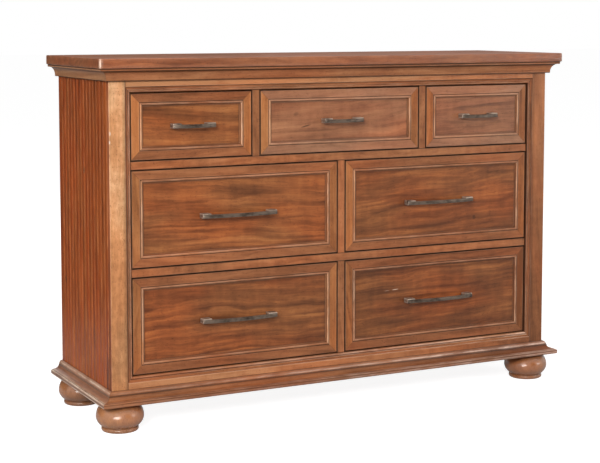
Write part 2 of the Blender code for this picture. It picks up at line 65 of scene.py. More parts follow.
# Hand marks and painted light: how far along an outline a bend is felt, and the bend at which an outward one
# is fully worn with a painted highlight, and an inward one fully glazed with painted shade
MARK_REACH = 0.0016
MARK_SPACING = 0.0005
FULL_WEAR_AND_HIGHLIGHT_TURN = math.radians(60)
FULL_GLAZE_AND_SHADE_TURN = math.radians(55)
STRAIGHT = math.radians(0.4)
SOFT_ANGLE = math.radians(34)

# Eased boards. Each corner: which way it lies, and the angle at which its rounding starts
BOARD_EASE = 0.0011
WEAR_BAND = 0.0042
CORNER_WEAR = 0.3
EASE_STEPS = 4
PLAN_ROUND_SHARE = 1.7
CORNERS = ((-1, -1, 180), (1, -1, 270), (1, 1, 0), (-1, 1, 90))

# Dark glaze in the joints at a board's ends, and painted shade beside its edges by gaps and mouldings: how
# far it fades out, and its strength
JOINT_BAND = 0.0009
JOINT_GLAZE = 0.75
PLANK_JOINT_GLAZE = 0.9
EDGE_SHADE = (0.0027, 1.0)
POST_SHADE = (0.011, 0.55)

# Timber: how far a board's heart may lie from it, and how far it may lean
HEART_ACROSS = 0.075
HEART_DEEP = (0.025, 0.085)
HEART_LEAN = 0.055
BOARD_SHIFT = 3.7

# How much paler the stain is towards a board's first end and its last, and how far their arrises are rubbed
# and highlit. On the head rail, the foot rail and the plinth's front the paler left end is painted light,
# falling off towards the right.
EVEN = (0, 0)
POST_PALER = (-0.10, 0.25)
HEAD_PAINTED_LIGHT = (0.56, 0.14)
FOOT_RAIL_PAINTED_LIGHT = (0.36, -0.12)
BANK_PALER = (-0.14, -0.14)
CORNICE_PALER = (0.08, 0.08)
PLINTH_PAINTED_LIGHT = (0.24, -0.03)
SIDE_PALER = (0.10, -0.04)
RUBBED = (1, 1)
# The fronts of the cornice, plinth and sill are rubbed and highlit more towards their right end: wear, and a
# painted sheen
FRONT_RUBS_AND_SHEEN = (0.15, 1.0)

# Where the case is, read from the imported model
FRONT_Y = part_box("left_stile")[0].y
BACK_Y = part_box("back_panel")[1].y
HALF_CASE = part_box("base_board")[1].x
BANK_LOW = Vector((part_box("opening_moulding_left")[1].x, 0.0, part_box("opening_moulding_bottom")[1].z))
BANK_HIGH = Vector((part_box("opening_moulding_right")[0].x, 0.0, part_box("opening_moulding_top")[0].z))
BANK_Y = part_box("upper_row_rail")[0].y

# Top board
TOP_EASE = 0.0028
TOP_WEAR_BAND = 0.007
TOP_ARRIS_WEAR = 0.06

# A moulding's glaze with painted shade, and its rubs, some with painted highlights: an axis (0 or 1), the
# place along it, how far the mark fades, and its strength
# Cornice
CORNICE_LOW, CORNICE_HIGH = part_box("cornice_front")
CORNICE_HEIGHT = CORNICE_HIGH.z - CORNICE_LOW.z
CORNICE_REACH = FRONT_Y - CORNICE_LOW.y
CORNICE_FILLET = 0.0065
CORNICE_LIP = 0.004
CORNICE_FOOT_REACH = 0.0095
CORNICE_FOOT_HEIGHT = 0.003
# Glaze at the cornice's foot, and painted shadow of the top board on its top fillet and the head of its cove
CORNICE_GLAZE_AND_SHADE = ((1, 0.0, 0.003, 1.5), (1, CORNICE_HEIGHT, 0.0036, 1.7),
                 (1, CORNICE_HEIGHT - CORNICE_FILLET - 0.0012, 0.0048, 1.0))
CORNICE_RUBS = ((1, CORNICE_HEIGHT - 0.0050, 0.0024, 0.9),)

# Base moulding
BASE_LOW, BASE_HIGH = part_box("base_moulding_front")
BASE_HEIGHT = BASE_HIGH.z - BASE_LOW.z
BASE_REACH = FRONT_Y - BASE_LOW.y
BASE_NOSE_HEIGHT = 0.0125
BASE_NOSE_EASE = 0.0034
BASE_STEP = 0.0045
BASE_BEAD_REACH = 0.0095
BASE_BEAD_HEIGHT = 0.0110
BASE_QUIRK = 0.0012
BASE_COVE_TOP = BASE_HEIGHT - BASE_BEAD_HEIGHT - BASE_QUIRK
# Glaze along the case, and painted shade in the head of the cove under the bead and above the nose
BASE_GLAZE_AND_SHADE = ((0, 0.0, 0.0050, 1.1), (1, BASE_COVE_TOP, 0.0030, 0.9),
              (1, BASE_NOSE_HEIGHT - 0.0030, 0.0020, 0.7))
# Rubs on the bead and the nose: wear, and painted highlights along them
BASE_RUBS_AND_HIGHLIGHTS = ((1, BASE_HEIGHT - 0.0066, 0.0040, 1.2), (1, BASE_NOSE_HEIGHT + 0.0002, 0.0018, 0.6),
             (1, BASE_NOSE_HEIGHT - 0.0072, 0.0028, 0.8))
# The ends' glaze and painted shade, in the same places
BASE_END_GLAZE_AND_SHADE = ((0, 0.0, 0.0030, 1.3), (1, BASE_COVE_TOP, 0.0022, 1.0),
                  (1, BASE_NOSE_HEIGHT - 0.0056, 0.0026, 0.75))
# The ends' rubs on the bead, the nose's top and the bottom arris: wear, and painted highlights
BASE_END_RUBS_AND_HIGHLIGHTS = ((1, BASE_HEIGHT - 0.0042, 0.0034, 1.0), (1, BASE_NOSE_HEIGHT - 0.0004, 0.0030, 1.3),
                 (1, 0.0012, 0.0036, 1.1))

# Opening moulding
OPENING_WIDTH = BANK_LOW.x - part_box("opening_moulding_left")[0].x
OPENING_BACK_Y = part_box("opening_moulding_top")[1].y
OPENING_BEAD_SHARE = 0.52
OPENING_BEAD_LOW_SHARE = 0.10
OPENING_BEAD_HIGH_SHARE = 0.62
OPENING_QUIRK_SHARE = 0.36
OPENING_RISE_SHARES = (0.52, 0.86)
# Glaze and painted shade beside the drawers' gap and in the quirk by the stile; on the sill beside the gap
# only
OPENING_GLAZE_AND_SHADE = ((0, 0.0, 0.0034, 1.3), (0, OPENING_WIDTH, 0.0018, 0.7))
SILL_GLAZE_AND_SHADE = ((0, 0.0, 0.0012, 0.9),)
SILL_RUBS = ((0, 0.0028, 0.0021, 1.0),)
# The share of the glaze and painted shade that the two lying lengths keep
LYING_GLAZE_AND_SHADE_SHARE = 0.5

# Beadboard sides, with two small knots on the left one: y and z, and their half length and half height
PLANK_PITCH = 0.0254
PLANK_CHAMFER = 0.0021
PLANK_GROOVE = 0.0026
PLANK_BEAD = 0.0052
PLANK_BEAD_DROP = 0.0007
# Glaze and painted shade in the grooves between the planks
PLANK_GLAZE_AND_SHADE = (0.0025, 1.2)
SIDE_KNOTS = ((0.177, 0.347), (0.0115, 0.665))
SIDE_KNOT_SIZE = (0.011, 0.006)

# Posts: a plank's groove parts their front board from the side's finish. The left one's chips are given as
# their height on it, half length and half height.
POST_EASE = 0.0018
POST_BOARD = 0.0185
POST_CHIPS = ((0.7745, 0.0060, 0.0034), (0.7520, 0.0044, 0.0026))
CHIP_STRENGTH = 1.5
# Faces that look sideways in front of the groove take the posts' darker side finish, partly painted shade
SIDE_FACING = 0.6

# Drawer fronts
FRONT_THICKNESS = 0.022
FRAME_WIDTH = 0.0245
FRAME_EASE = 0.0010
FRAME_QUIRK_WIDTH = 0.0013
FRAME_QUIRK_DEPTH = 0.0008
BEAD_ROUND_WIDTH = 0.0058
BEAD_WIDTH = 0.0095
PANEL_SINK = 0.005
# Glaze and painted shade along the front's outer edge by its gap, in the quirk, and round the sunk panel
MEMBER_GLAZE_AND_SHADE = ((0, 0.0, 0.0022, 1.3), (0, FRAME_WIDTH - 0.0006, 0.0015, 0.9),
                (0, FRAME_WIDTH + BEAD_WIDTH, 0.0024, 0.8))
# How far in from the panel's edge, and the glaze and painted shade there
PANEL_GLAZE_AND_SHADE = ((0.0, 0.65), (0.0014, 0.20), (0.0040, 0.0))
# How much paler than the rest each front's members are: top, bottom, left, right
MEMBER_PALER = {"top_left": (-0.13, -0.04, 0.27, -0.02), "top_middle": (0.14, 0.06, 0.07, -0.07),
                "top_right": (0.12, 0.10, -0.12, -0.08), "middle_left": (0.08, 0.09, 0.0, -0.09),
                "middle_right": (0.03, -0.03, 0.05, -0.15), "bottom_left": (0.0, 0.0, -0.01, 0.08),
                "bottom_right": (-0.12, -0.08, -0.05, -0.32)}
PANEL_PALER = {"top_left": 0.03, "top_middle": 0.10, "top_right": 0.05, "middle_left": 0.02,
               "middle_right": -0.04, "bottom_left": -0.01, "bottom_right": -0.11}
# Fronts whose panel and top and bottom members take greyer tones: a painted reflection of the white room
PAINTED_SHEEN_PANELS = ("top_middle", "top_right")
# Knots and pale scratches: x and z, half length and half height, how steeply they lean, and their strength
PANEL_KNOTS = {
    "top_middle": ((-0.137, 0.8085, 0.009, 0.0060, 0.15, 0.45), (-0.107, 0.775, 0.016, 0.0022, 0.22, 1.0)),
    "middle_right": ((0.440, 0.4933, 0.0055, 0.0075, 0.0, 0.8),),
}
SCRATCHES = {
    "bottom_right": ((0.1765, 0.303, 0.011, 0.0011, 0.06, 1.0), (0.150, 0.3018, 0.009, 0.0009, 0.06, 0.5)),
}

# Drawer boxes
BOX_WALL = 0.012
BOX_EASE = 0.0022
TAIL_PITCH = 0.034
TAIL_ROOT = 0.0075
TAIL_FLARE = 0.0028
TAIL_LENGTH = 0.0145
TAIL_DEPTH = 0.004
TAIL_PROUD = 0.00008

# Pulls
PULL_FOOT_WIDTH = 0.025
PULL_FOOT_RISE = 0.0026
PULL_FOOT_EASE = 0.0013
# How pale a pull's feet are over their whole faces: a painted sheen
PULL_FOOT_SHEEN = 0.40
PULL_FOOT_SET_BACK = 0.0006
PULL_BOW = 0.010
BAR_THICKNESS = 0.0055
BAR_EASE = 0.0009
BAR_END_SHRINK = 0.7
BAR_WEAR = 0.18
BAR_STATIONS = 28
SCREW_HEAD_RADIUS = 0.004
SCREW_HEAD_HEIGHT = 0.0025
SCREW_RIM_SHARE = 0.35
SCREW_WEAR = 0.3
SCREW_STEPS = 24

# Bun feet
FOOT_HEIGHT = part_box("front_left_foot")[1].z
FOOT_BULGE_HEIGHT = 0.038
FOOT_TOP_RADIUS = 0.045
FOOT_NECK_RADIUS = 0.046
FOOT_NECK_HEIGHT = 0.0115
FOOT_RING_RADIUS = 0.0485
FOOT_SOLE_RADIUS = 0.0445
FOOT_HOLLOW_SHARE = 0.95
# Painted shade: under the base moulding at the feet's tops, and down towards their necks
FOOT_SHADE = ((1, FOOT_HEIGHT, 0.020, 1.2), (1, FOOT_NECK_HEIGHT, 0.024, 0.5))
FOOT_STEPS = 96
FOOT_ARC_STEPS = 26
RING_ARC_STEPS = 12

# Studio
HALF_FLOOR = 40.0
FLOOR_COLOUR = (0.45, 0.45, 0.45)
FLOOR_GLOW = 0.90
FLOOR_SHEEN = 0.25
WHITE = (1.0, 1.0, 1.0)
ROOM_LIGHT = 0.20
# Sheets that only polish reflects: two opposite corners of an upright sheet, its y and its tone. Dark flags
# keep the lacquer's colour beside the white background, and small bright cards put gleams on the feet.
SHEETS = {
    "front_flag": ((0.2, 0.0), (3.4, 3.2), -6.6, (0.10, 0.08, 0.07)),
    "left_flag": ((-7.0, 0.0), (-0.75, 3.0), 1.15, (0.10, 0.08, 0.07)),
    "back_flag": ((-2.0, 0.97), (0.6, 1.75), 1.6, (0.05, 0.04, 0.03)),
    "far_flag": ((0.6, 0.97), (4.0, 1.75), 1.6, (0.15, 0.13, 0.12)),
    "left_card": ((-5.2, 0.25), (-2.3, 0.94), -4.6, (22.0, 21.5, 21.0)),
    "right_card": ((3.3, 0.78), (5.2, 0.955), -4.1, (22.0, 22.0, 22.0)),
}
# Soft boxes: place, target, width, height and power
LAMPS = {
    "left_box": ((-3.6, -4.5, 2.5), (0.0, 0.0, 0.45), 1.4, 1.1, 216.0),
    "right_box": ((3.7, -4.1, 2.1), (0.0, 0.0, 0.5), 1.5, 1.3, 70.0),
    "side_box": ((-4.4, -0.6, 1.9), (-0.6, 0.0, 0.3), 3.0, 2.2, 44.0),
    "top_box": ((-0.3, -1.2, 4.0), (0.0, 0.0, 0.4), 3.0, 2.4, 56.0),
    "back_box": ((1.2, 4.2, 2.2), (0.0, 0.0, 0.5), 2.4, 1.8, 75.0),
}
# The camera looks down by its dip and to the right by its turn, both in degrees
CAMERA_PLACE = (-1.9464, -3.7391, 1.0629)
CAMERA_DIP = 5
CAMERA_TURN = -27.04
CAMERA_LENS = 89.13
CAMERA_SENSOR = 36.0
CAMERA_SHIFT = -0.137

DRAWERS = ("top_left", "top_middle", "top_right", "middle_left", "middle_right", "bottom_left",
           "bottom_right")

# The stain's tones that several finishes share, from the darkest streak to the palest
RAIL_TONES = ((0.15, 0.048, 0.017), (0.30, 0.103, 0.038), (0.42, 0.155, 0.060), (0.54, 0.23, 0.10))
FRAME_TONES = ((0.14, 0.045, 0.016), (0.26, 0.088, 0.034), (0.36, 0.128, 0.050), (0.47, 0.185, 0.078))
PLY_TONES = ((0.34, 0.155, 0.066), (0.50, 0.250, 0.112), (0.58, 0.31, 0.146), (0.67, 0.39, 0.20))
# Pale tones of rubbed arrises, which also paint highlights on beads and corners
RUBBED_AND_HIGHLIGHT_TONE = (0.64, 0.36, 0.22)
PALE_RUBBED_AND_HIGHLIGHT_TONE = (0.85, 0.59, 0.44)
COOL_CAST = (0.90, 1.0, 1.04)
WARM_CAST = (1.10, 0.93, 0.80)
PORE_SHADE = (0.45, 0.36, 0.30)
KNOT_TONE = (0.050, 0.019, 0.009)
SCRATCH_TONE = (0.80, 0.66, 0.54)
# The dark of glaze in hollows, also used as painted shade
GLAZE_AND_SHADE_TONE = (0.030, 0.011, 0.005)

WOODS = {
    "rail": dict(tones=RAIL_TONES, figure=0.14, streak=0.36, mottle=0.50, curl=0.34, fleck=0.30),
    "frame": dict(tones=FRAME_TONES, figure=0.14, streak=0.44, mottle=0.44, wear_and_highlight=0.75, shine=0.25),
    # A greyer frame for those fronts: a painted reflection
    "misty_frame": dict(
        tones=((0.14, 0.055, 0.026), (0.26, 0.108, 0.054), (0.36, 0.157, 0.080), (0.47, 0.225, 0.122)),
        figure=0.14, streak=0.40, mottle=0.40, wear_and_highlight=0.75, shine=0.4),
    # The fronts' upright members: their pale worn tone paints the highlight along their beads as well as wear
    "highlit_upright": dict(
        tones=((0.18, 0.058, 0.019), (0.34, 0.117, 0.038), (0.46, 0.172, 0.058), (0.57, 0.24, 0.090)),
        figure=0.14, streak=0.44, mottle=0.44, wear_and_highlight=0.95, shine=0.25, worn_and_highlight_tone=(0.78, 0.48, 0.31)),
    "panel": dict(
        tones=((0.120, 0.036, 0.012), (0.225, 0.070, 0.022), (0.34, 0.110, 0.034), (0.48, 0.175, 0.055)),
        ring=0.016, figure=0.24, streak=0.66, mottle=0.44, curl=0.22, hue=0.9),
    # A greyer panel for those fronts: a painted reflection
    "misty_panel": dict(
        tones=((0.125, 0.044, 0.019), (0.230, 0.082, 0.036), (0.34, 0.126, 0.056), (0.47, 0.19, 0.085)),
        ring=0.016, figure=0.20, streak=0.50, mottle=0.42, curl=0.22, hue=0.7, shine=0.4),
    "moulding": dict(tones=RAIL_TONES, figure=0.12, streak=0.40, mottle=0.42, wear_and_highlight=0.6),
    # The cornice's ends: lighter and greyer than its front, a painted sheen
    "crown_end_sheen": dict(
        tones=((0.15, 0.057, 0.024), (0.30, 0.123, 0.053), (0.42, 0.185, 0.084), (0.54, 0.27, 0.14)),
        figure=0.12, streak=0.40, mottle=0.42, wear_and_highlight=0.6),
    "plinth": dict(
        tones=((0.10, 0.031, 0.011), (0.180, 0.059, 0.022), (0.255, 0.089, 0.034), (0.38, 0.150, 0.064)),
        figure=0.16, streak=0.50, mottle=0.42, wear_and_highlight=0.9, shine=0.25, worn_and_highlight_tone=(0.82, 0.58, 0.46)),
    "sill": dict(tones=RAIL_TONES, figure=0.12, streak=0.40, mottle=0.42, wear_and_highlight=1.0, shine=0.25,
                 worn_and_highlight_tone=PALE_RUBBED_AND_HIGHLIGHT_TONE),
    # The base moulding's ends: lighter, greyer tones, a painted sheen, and pale arrises, painted highlights
    # as well as wear
    "plinth_end_sheen": dict(
        tones=((0.16, 0.058, 0.027), (0.33, 0.137, 0.070), (0.45, 0.200, 0.107), (0.58, 0.29, 0.16)),
        figure=0.16, streak=0.50, mottle=0.42, wear_and_highlight=0.9, shine=0.6, worn_and_highlight_tone=(0.84, 0.68, 0.52)),
    # The beadboard sides: their orange worn tone paints a highlight along each plank's bead as well as wear
    "side": dict(
        tones=((0.090, 0.0175, 0.004), (0.230, 0.044, 0.008), (0.330, 0.071, 0.014), (0.46, 0.132, 0.032)),
        ring=0.007, figure=0.18, streak=0.40, mottle=0.40, hue=0.9, wear_and_highlight=0.9, rough=0.36, shine=0.1,
        worn_and_highlight_tone=(0.66, 0.26, 0.10)),
    # The posts' faces that look sideways: darker than their fronts, partly painted shade
    "post_side": dict(
        tones=((0.13, 0.036, 0.013), (0.255, 0.070, 0.025), (0.335, 0.098, 0.036), (0.43, 0.15, 0.06)),
        figure=0.2, streak=0.6, mottle=0.3, rough=0.46, shine=0.08),
    # The top: its pale worn tone paints the highlight down its rounded corners as well as wear
    "top": dict(
        tones=((0.11, 0.033, 0.012), (0.23, 0.071, 0.026), (0.33, 0.110, 0.042), (0.44, 0.165, 0.068)),
        ring=0.014, figure=0.20, streak=0.50, mottle=0.30, rough=0.36, shine=0.6, wear_and_highlight=0.9,
        worn_and_highlight_tone=PALE_RUBBED_AND_HIGHLIGHT_TONE),
    "left_post": dict(
        tones=((0.33, 0.142, 0.057), (0.48, 0.217, 0.090), (0.62, 0.300, 0.133), (0.84, 0.48, 0.26)),
        figure=0.08, streak=0.26, mottle=0.42, curl=0.30, fleck=0.50, speck=0.40, wear_and_highlight=0.2,
        worn_and_highlight_tone=(0.85, 0.62, 0.45)),
    "right_post": dict(
        tones=((0.14, 0.046, 0.016), (0.25, 0.084, 0.029), (0.33, 0.116, 0.042), (0.44, 0.170, 0.067)),
        figure=0.14, streak=0.46, mottle=0.44, curl=0.20, fleck=0.30),
    "foot": dict(
        tones=((0.22, 0.078, 0.029), (0.36, 0.137, 0.053), (0.49, 0.203, 0.080), (0.62, 0.30, 0.125)),
        ring=0.009, figure=0.04, streak=0.12, mottle=0.50, fleck=0.3, rough=0.20, shine=0.9, wear_and_highlight=0.3,
        glaze_and_shade=0.55),
    "box": dict(
        tones=((0.44, 0.26, 0.13), (0.62, 0.41, 0.23), (0.72, 0.50, 0.295), (0.79, 0.59, 0.38)),
        ring=0.011, figure=0.22, streak=0.40, mottle=0.20, hue=0.25, rough=0.52, wear_and_highlight=0.3,
        worn_and_highlight_tone=(0.79, 0.59, 0.38)),
    "bottom": dict(tones=PLY_TONES, ring=0.02, figure=0.30, streak=0.40, mottle=0.25, rough=0.58,
                   order="yxz"),
    "back": dict(tones=PLY_TONES, ring=0.026, figure=0.30, streak=0.36, mottle=0.25, hue=0.25, rough=0.66,
                 shine=0.05, order="zxy"),
    "dust": dict(tones=PLY_TONES, ring=0.02, figure=0.25, streak=0.40, mottle=0.25, rough=0.66, shine=0.1,
                 order="xyz"),
    "base": dict(tones=FRAME_TONES, figure=0.20, streak=0.46, mottle=0.44, order="xyz"),
}
METALS = {
    # The pulls' pale rubbed tone paints glints on the feet's arrises and a sheen on their faces, as well as
    # wear
    "pull": dict(dark=(0.032, 0.018, 0.011), body=(0.088, 0.052, 0.032), rubbed_and_glint_tone=(0.70, 0.57, 0.46),
                 rough=0.38, bare=0.55),
    "screw": dict(dark=(0.30, 0.28, 0.25), body=(0.52, 0.50, 0.46), rubbed_and_glint_tone=(0.75, 0.73, 0.70),
                  rough=0.30),
}


class Socket:
    """An output in a finish's node tree. Sums on it add Math nodes, and add() adds any other node."""

    def __init__(self, tree, node=None, output=0):
        self.tree = tree
        self.node = node
        self.output = output

    def out(self, output):
        """Another output of the same node."""
        return Socket(self.tree, self.node, output)

    def add(self, kind, sockets=None, output=0, stops=(), **settings):
        """Add a node: its settings first, then the values or links of its sockets. A tuple is a colour."""
        node = self.tree.nodes.new("ShaderNode" + kind)
        for setting, value in settings.items():
            setattr(node, setting, value)
        for place, _ in stops[2:]:
            node.color_ramp.elements.new(place)
        for element, (place, tone) in zip(node.color_ramp.elements if stops else (), stops):
            element.position = place
            element.color = (*tone, 1.0)
        for socket, value in (sockets or {}).items():
            if isinstance(value, Socket):
                self.tree.links.new(value.node.outputs[value.output], node.inputs[socket])
            else:
                node.inputs[socket].default_value = (*value, 1.0) if isinstance(value, tuple) else value
        return Socket(self.tree, node, output)

    def maths(self, operation, *others):
        """A Math node on this value and others."""
        return self.add("Math", dict(enumerate((self, *others))), operation=operation)

    def __add__(self, other):
        return self.maths("ADD", other)

    def __sub__(self, other):
        return self.maths("SUBTRACT", other)

    def __rsub__(self, other):
        return self.add("Math", {0: other, 1: self}, operation="SUBTRACT")

    def __mul__(self, other):
        return self.maths("MULTIPLY", other)

    def __truediv__(self, other):
        return self.maths("DIVIDE", other)

    __radd__ = __add__
    __rmul__ = __mul__

    def mark(self, name):
        """A mark that the mesh carries."""
        return self.add("Attribute", output="Fac", attribute_name=name)

    def between(self, low, high):
        """0 below low, 1 above high, and a smooth rise between them."""
        return self.add("MapRange", {"Value": self, "From Min": low, "From Max": high},
                        interpolation_type="SMOOTHSTEP")

    def cloud(self, timber, along, across, detail=2.0, roughness=0.5):
        """Noise from 0 to 1 on timber coordinates, with one scale along the grain and one across it."""
        a, c, d = timber
        place = self.add("CombineXYZ", {"X": a * along, "Y": c * across, "Z": d * across})
        return self.add("TexNoise", {"Vector": place, "Scale": 1.0, "Detail": detail, "Roughness": roughness})

    def blend(self, first, second, share, way="MIX"):
        """Two colours mixed by a share."""
        return self.add("Mix", {0: share, 6: first, 7: second}, output=2, data_type="RGBA", blend_type=way)

    def close(self, shader):
        """Feed a shader to the material's surface."""
        self.add("OutputMaterial", {"Surface": shader})


def timber_coordinates(start, order):
    """Along, across and into the board: the piece's own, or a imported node's place in the given order."""
    if order is None:
        parts = start.add("SeparateXYZ", {"Vector": start.add("Attribute", output="Vector",
                                                              attribute_name="timber")})
        order = "xyz"
    else:
        parts = start.add("SeparateXYZ", {"Vector": start.add("TexCoord", output="Object")})
    return [parts.out(axis) for axis in order.upper()]


def knot_share(a, c, knots):
    """How far a place lies inside a knot, 0 outside them all."""
    share = None
    for along, across, length, height, lean, strength in knots:
        u = (a - along) / length
        v = (c - across - (a - along) * lean) / height
        inside = (1.0 - (u * u + v * v)).between(-0.35, 0.9) * strength
        share = inside if share is None else share.maths("MAXIMUM", inside)
    return share


def wood(start, tones, figure, streak, mottle, ring=0.010, curl=0.12, fleck=0.20, speck=0.22, hue=0.6,
         wear_and_highlight=0.5, worn_and_highlight_tone=RUBBED_AND_HIGHLIGHT_TONE, rough=0.37, shine=0.3, order=None, glaze_and_shade=0.9, knots=(),
         scratches=()):
    """Stained wood under satin lacquer: growth rings, streaks, blotches, pores, glaze with painted shade, and
    rubbed arrises with painted highlights.

    tones runs from the darkest streak to the palest: four colours.
    """
    timber = timber_coordinates(start, order)
    a, c, d = timber
    worn_and_highlit, glazed_and_shaded, tint = [start.mark(name) for name in ("worn_and_highlit", "glazed_and_shaded", "tint")]

    # The grain wanders across the board as it runs along it
    wander = start.cloud(timber, 2.4, 8.0) - 0.5
    wave = start.cloud(timber, 8.5, 13.0) - 0.5
    drift = wander * 0.050 + wave * 0.016
    across = c + drift
    deep_in = d + drift * 0.5
    grain = (a, across, deep_in)

    # Growth rings about the board's heart
    turn = ((across * across + deep_in * deep_in).maths("SQRT") / ring).maths("FRACT")
    latewood = turn.between(0.30, 0.84) * (1.0 - turn.between(0.86, 1.0))
    ring_strength = start.cloud(timber, 3.0, 14.0, 1.0).between(0.35, 0.70)

    # Streaks and fibres along the grain, blotches where the stain bit, and ripples across
    streaks = start.cloud(grain, 4.6, 125.0, 3.0, 0.62)
    bands = start.cloud(grain, 3.6, 40.0)
    fibre = start.cloud(grain, 16.0, 640.0)
    blotch = start.cloud(timber, 6.0, 13.0, 3.0)
    flecks = start.cloud(timber, 52.0, 88.0, 3.0)
    ripples = start.cloud(timber, 44.0, 9.0)
    pores = start.cloud(timber, 95.0, 1500.0, 1.0).between(0.66, 0.74)
    specks = start.cloud(timber, 190.0, 330.0).between(0.60, 0.74)

    tone = (0.50 - (latewood - 0.35) * ring_strength * figure + (streaks - 0.5) * streak
            + (bands - 0.5) * streak * 1.1 + (blotch - 0.5) * mottle + (ripples - 0.5) * curl
            + (flecks - 0.5) * fleck + (fibre - 0.5) * 0.26 + tint - specks * speck)
    base = start.add("ValToRGB", {"Fac": tone}, stops=tuple(zip((0.20, 0.45, 0.64, 0.88), tones)))
    warmth = start.cloud(timber, 3.2, 9.0)
    base = start.blend(base, COOL_CAST, warmth.between(0.46, 0.66) * hue, "MULTIPLY")
    base = start.blend(base, WARM_CAST, (1.0 - warmth.between(0.34, 0.54)) * hue, "MULTIPLY")
    base = start.blend(base, PORE_SHADE, pores * 0.35, "MULTIPLY")
    if knots:
        base = start.blend(base, KNOT_TONE, knot_share(a, c, knots) * 0.82)
    if scratches:
        base = start.blend(base, SCRATCH_TONE, knot_share(a, c, scratches) * fibre.between(0.30, 0.55))

    # Glaze in the hollows, with painted shade, and arrises rubbed back in patches, with painted highlights
    patches = start.cloud(timber, 15.0, 60.0, 4.0, 0.65)
    glaze_and_shade_share = (glazed_and_shaded * (0.70 + patches * 0.6)).maths("MINIMUM", 1.0) * glaze_and_shade
    base = start.blend(base, GLAZE_AND_SHADE_TONE, glaze_and_shade_share)
    rubbed_and_highlit = worn_and_highlit * (0.25 + patches.between(0.36, 0.64) * 0.75) * wear_and_highlight
    base = start.blend(base, worn_and_highlight_tone, rubbed_and_highlit)

    roughness = rough + (blotch - 0.5) * 0.14 + (streaks - 0.5) * 0.08 + glazed_and_shaded * 0.16 - rubbed_and_highlit * 0.06
    height = fibre * 0.30 + streaks * 0.30 - pores * 0.60 - latewood * 0.10 + blotch * 0.4
    bump = start.add("Bump", {"Strength": 0.22, "Distance": 0.0005, "Height": height})
    start.close(start.add("BsdfPrincipled", {"Base Color": base, "Roughness": roughness, "Normal": bump,
                                             "Specular IOR Level": shine}))


def metal(start, dark, body, rubbed_and_glint_tone, rough, bare=1.0):
    """Cast metal with a brown patina: blotched, finely brushed along its length, bright where rubbed and
    where glints and sheen are painted.
    """
    timber = timber_coordinates(start, None)
    worn_and_highlit, glazed_and_shaded = [start.mark(name) for name in ("worn_and_highlit", "glazed_and_shaded")]
    patina = start.cloud(timber, 38.0, 60.0, 4.0, 0.62)
    brushed = start.cloud(timber, 60.0, 2600.0)
    pits = start.cloud(timber, 900.0, 900.0)
    base = start.blend(dark, body, patina.between(0.30, 0.70))
    base = start.blend(base, rubbed_and_glint_tone, worn_and_highlit * patina.between(0.25, 0.60) * 0.75)
    base = start.blend(base, dark, glazed_and_shaded * 0.9)
    roughness = rough + (patina - 0.5) * 0.20 + (brushed - 0.5) * 0.10 + glazed_and_shaded * 0.2 - worn_and_highlit * 0.06
    bump = start.add("Bump", {"Strength": 0.18, "Distance": 0.0002, "Height": brushed * 0.6 + pits * 0.4})
    start.close(start.add("BsdfPrincipled", {"Base Color": base, "Metallic": bare, "Roughness": roughness,
                                             "Normal": bump}))


def bare_material(name):
    """A material with nothing in its node tree."""
    material = bpy.data.materials.new(name)
    material.use_nodes = True
    material.node_tree.nodes.clear()
    return material


def mix_finishes():
    """Build each finish, now that the places of the knots are known."""
    for name, recipe in WOODS.items():
        wood(Socket(finishes[name].node_tree), knots=knots.get(name, ()),
             scratches=knots.get(name + " scratch", ()), **recipe)
    for name, recipe in METALS.items():
        metal(Socket(finishes[name].node_tree), **recipe)


def arc(centre, radii, start, end, steps=ARC_STEPS):
    """Points along an ellipse's arc between two angles in degrees, both ends included."""
    points = []
    for step in range(steps + 1):
        angle = math.radians(start + (end - start) * step / steps)
        points.append((centre[0] + radii[0] * math.cos(angle), centre[1] + radii[1] * math.sin(angle)))
    return points


def strongest(mark, bands, point):
    """A mark at a point, or a band's where that is stronger, from 0 to 1."""
    for axis, place, reach, strength in bands:
        mark = max(mark, strength * (1 - abs(point[axis] - place) / reach))
    return min(1.0, max(0.0, mark))


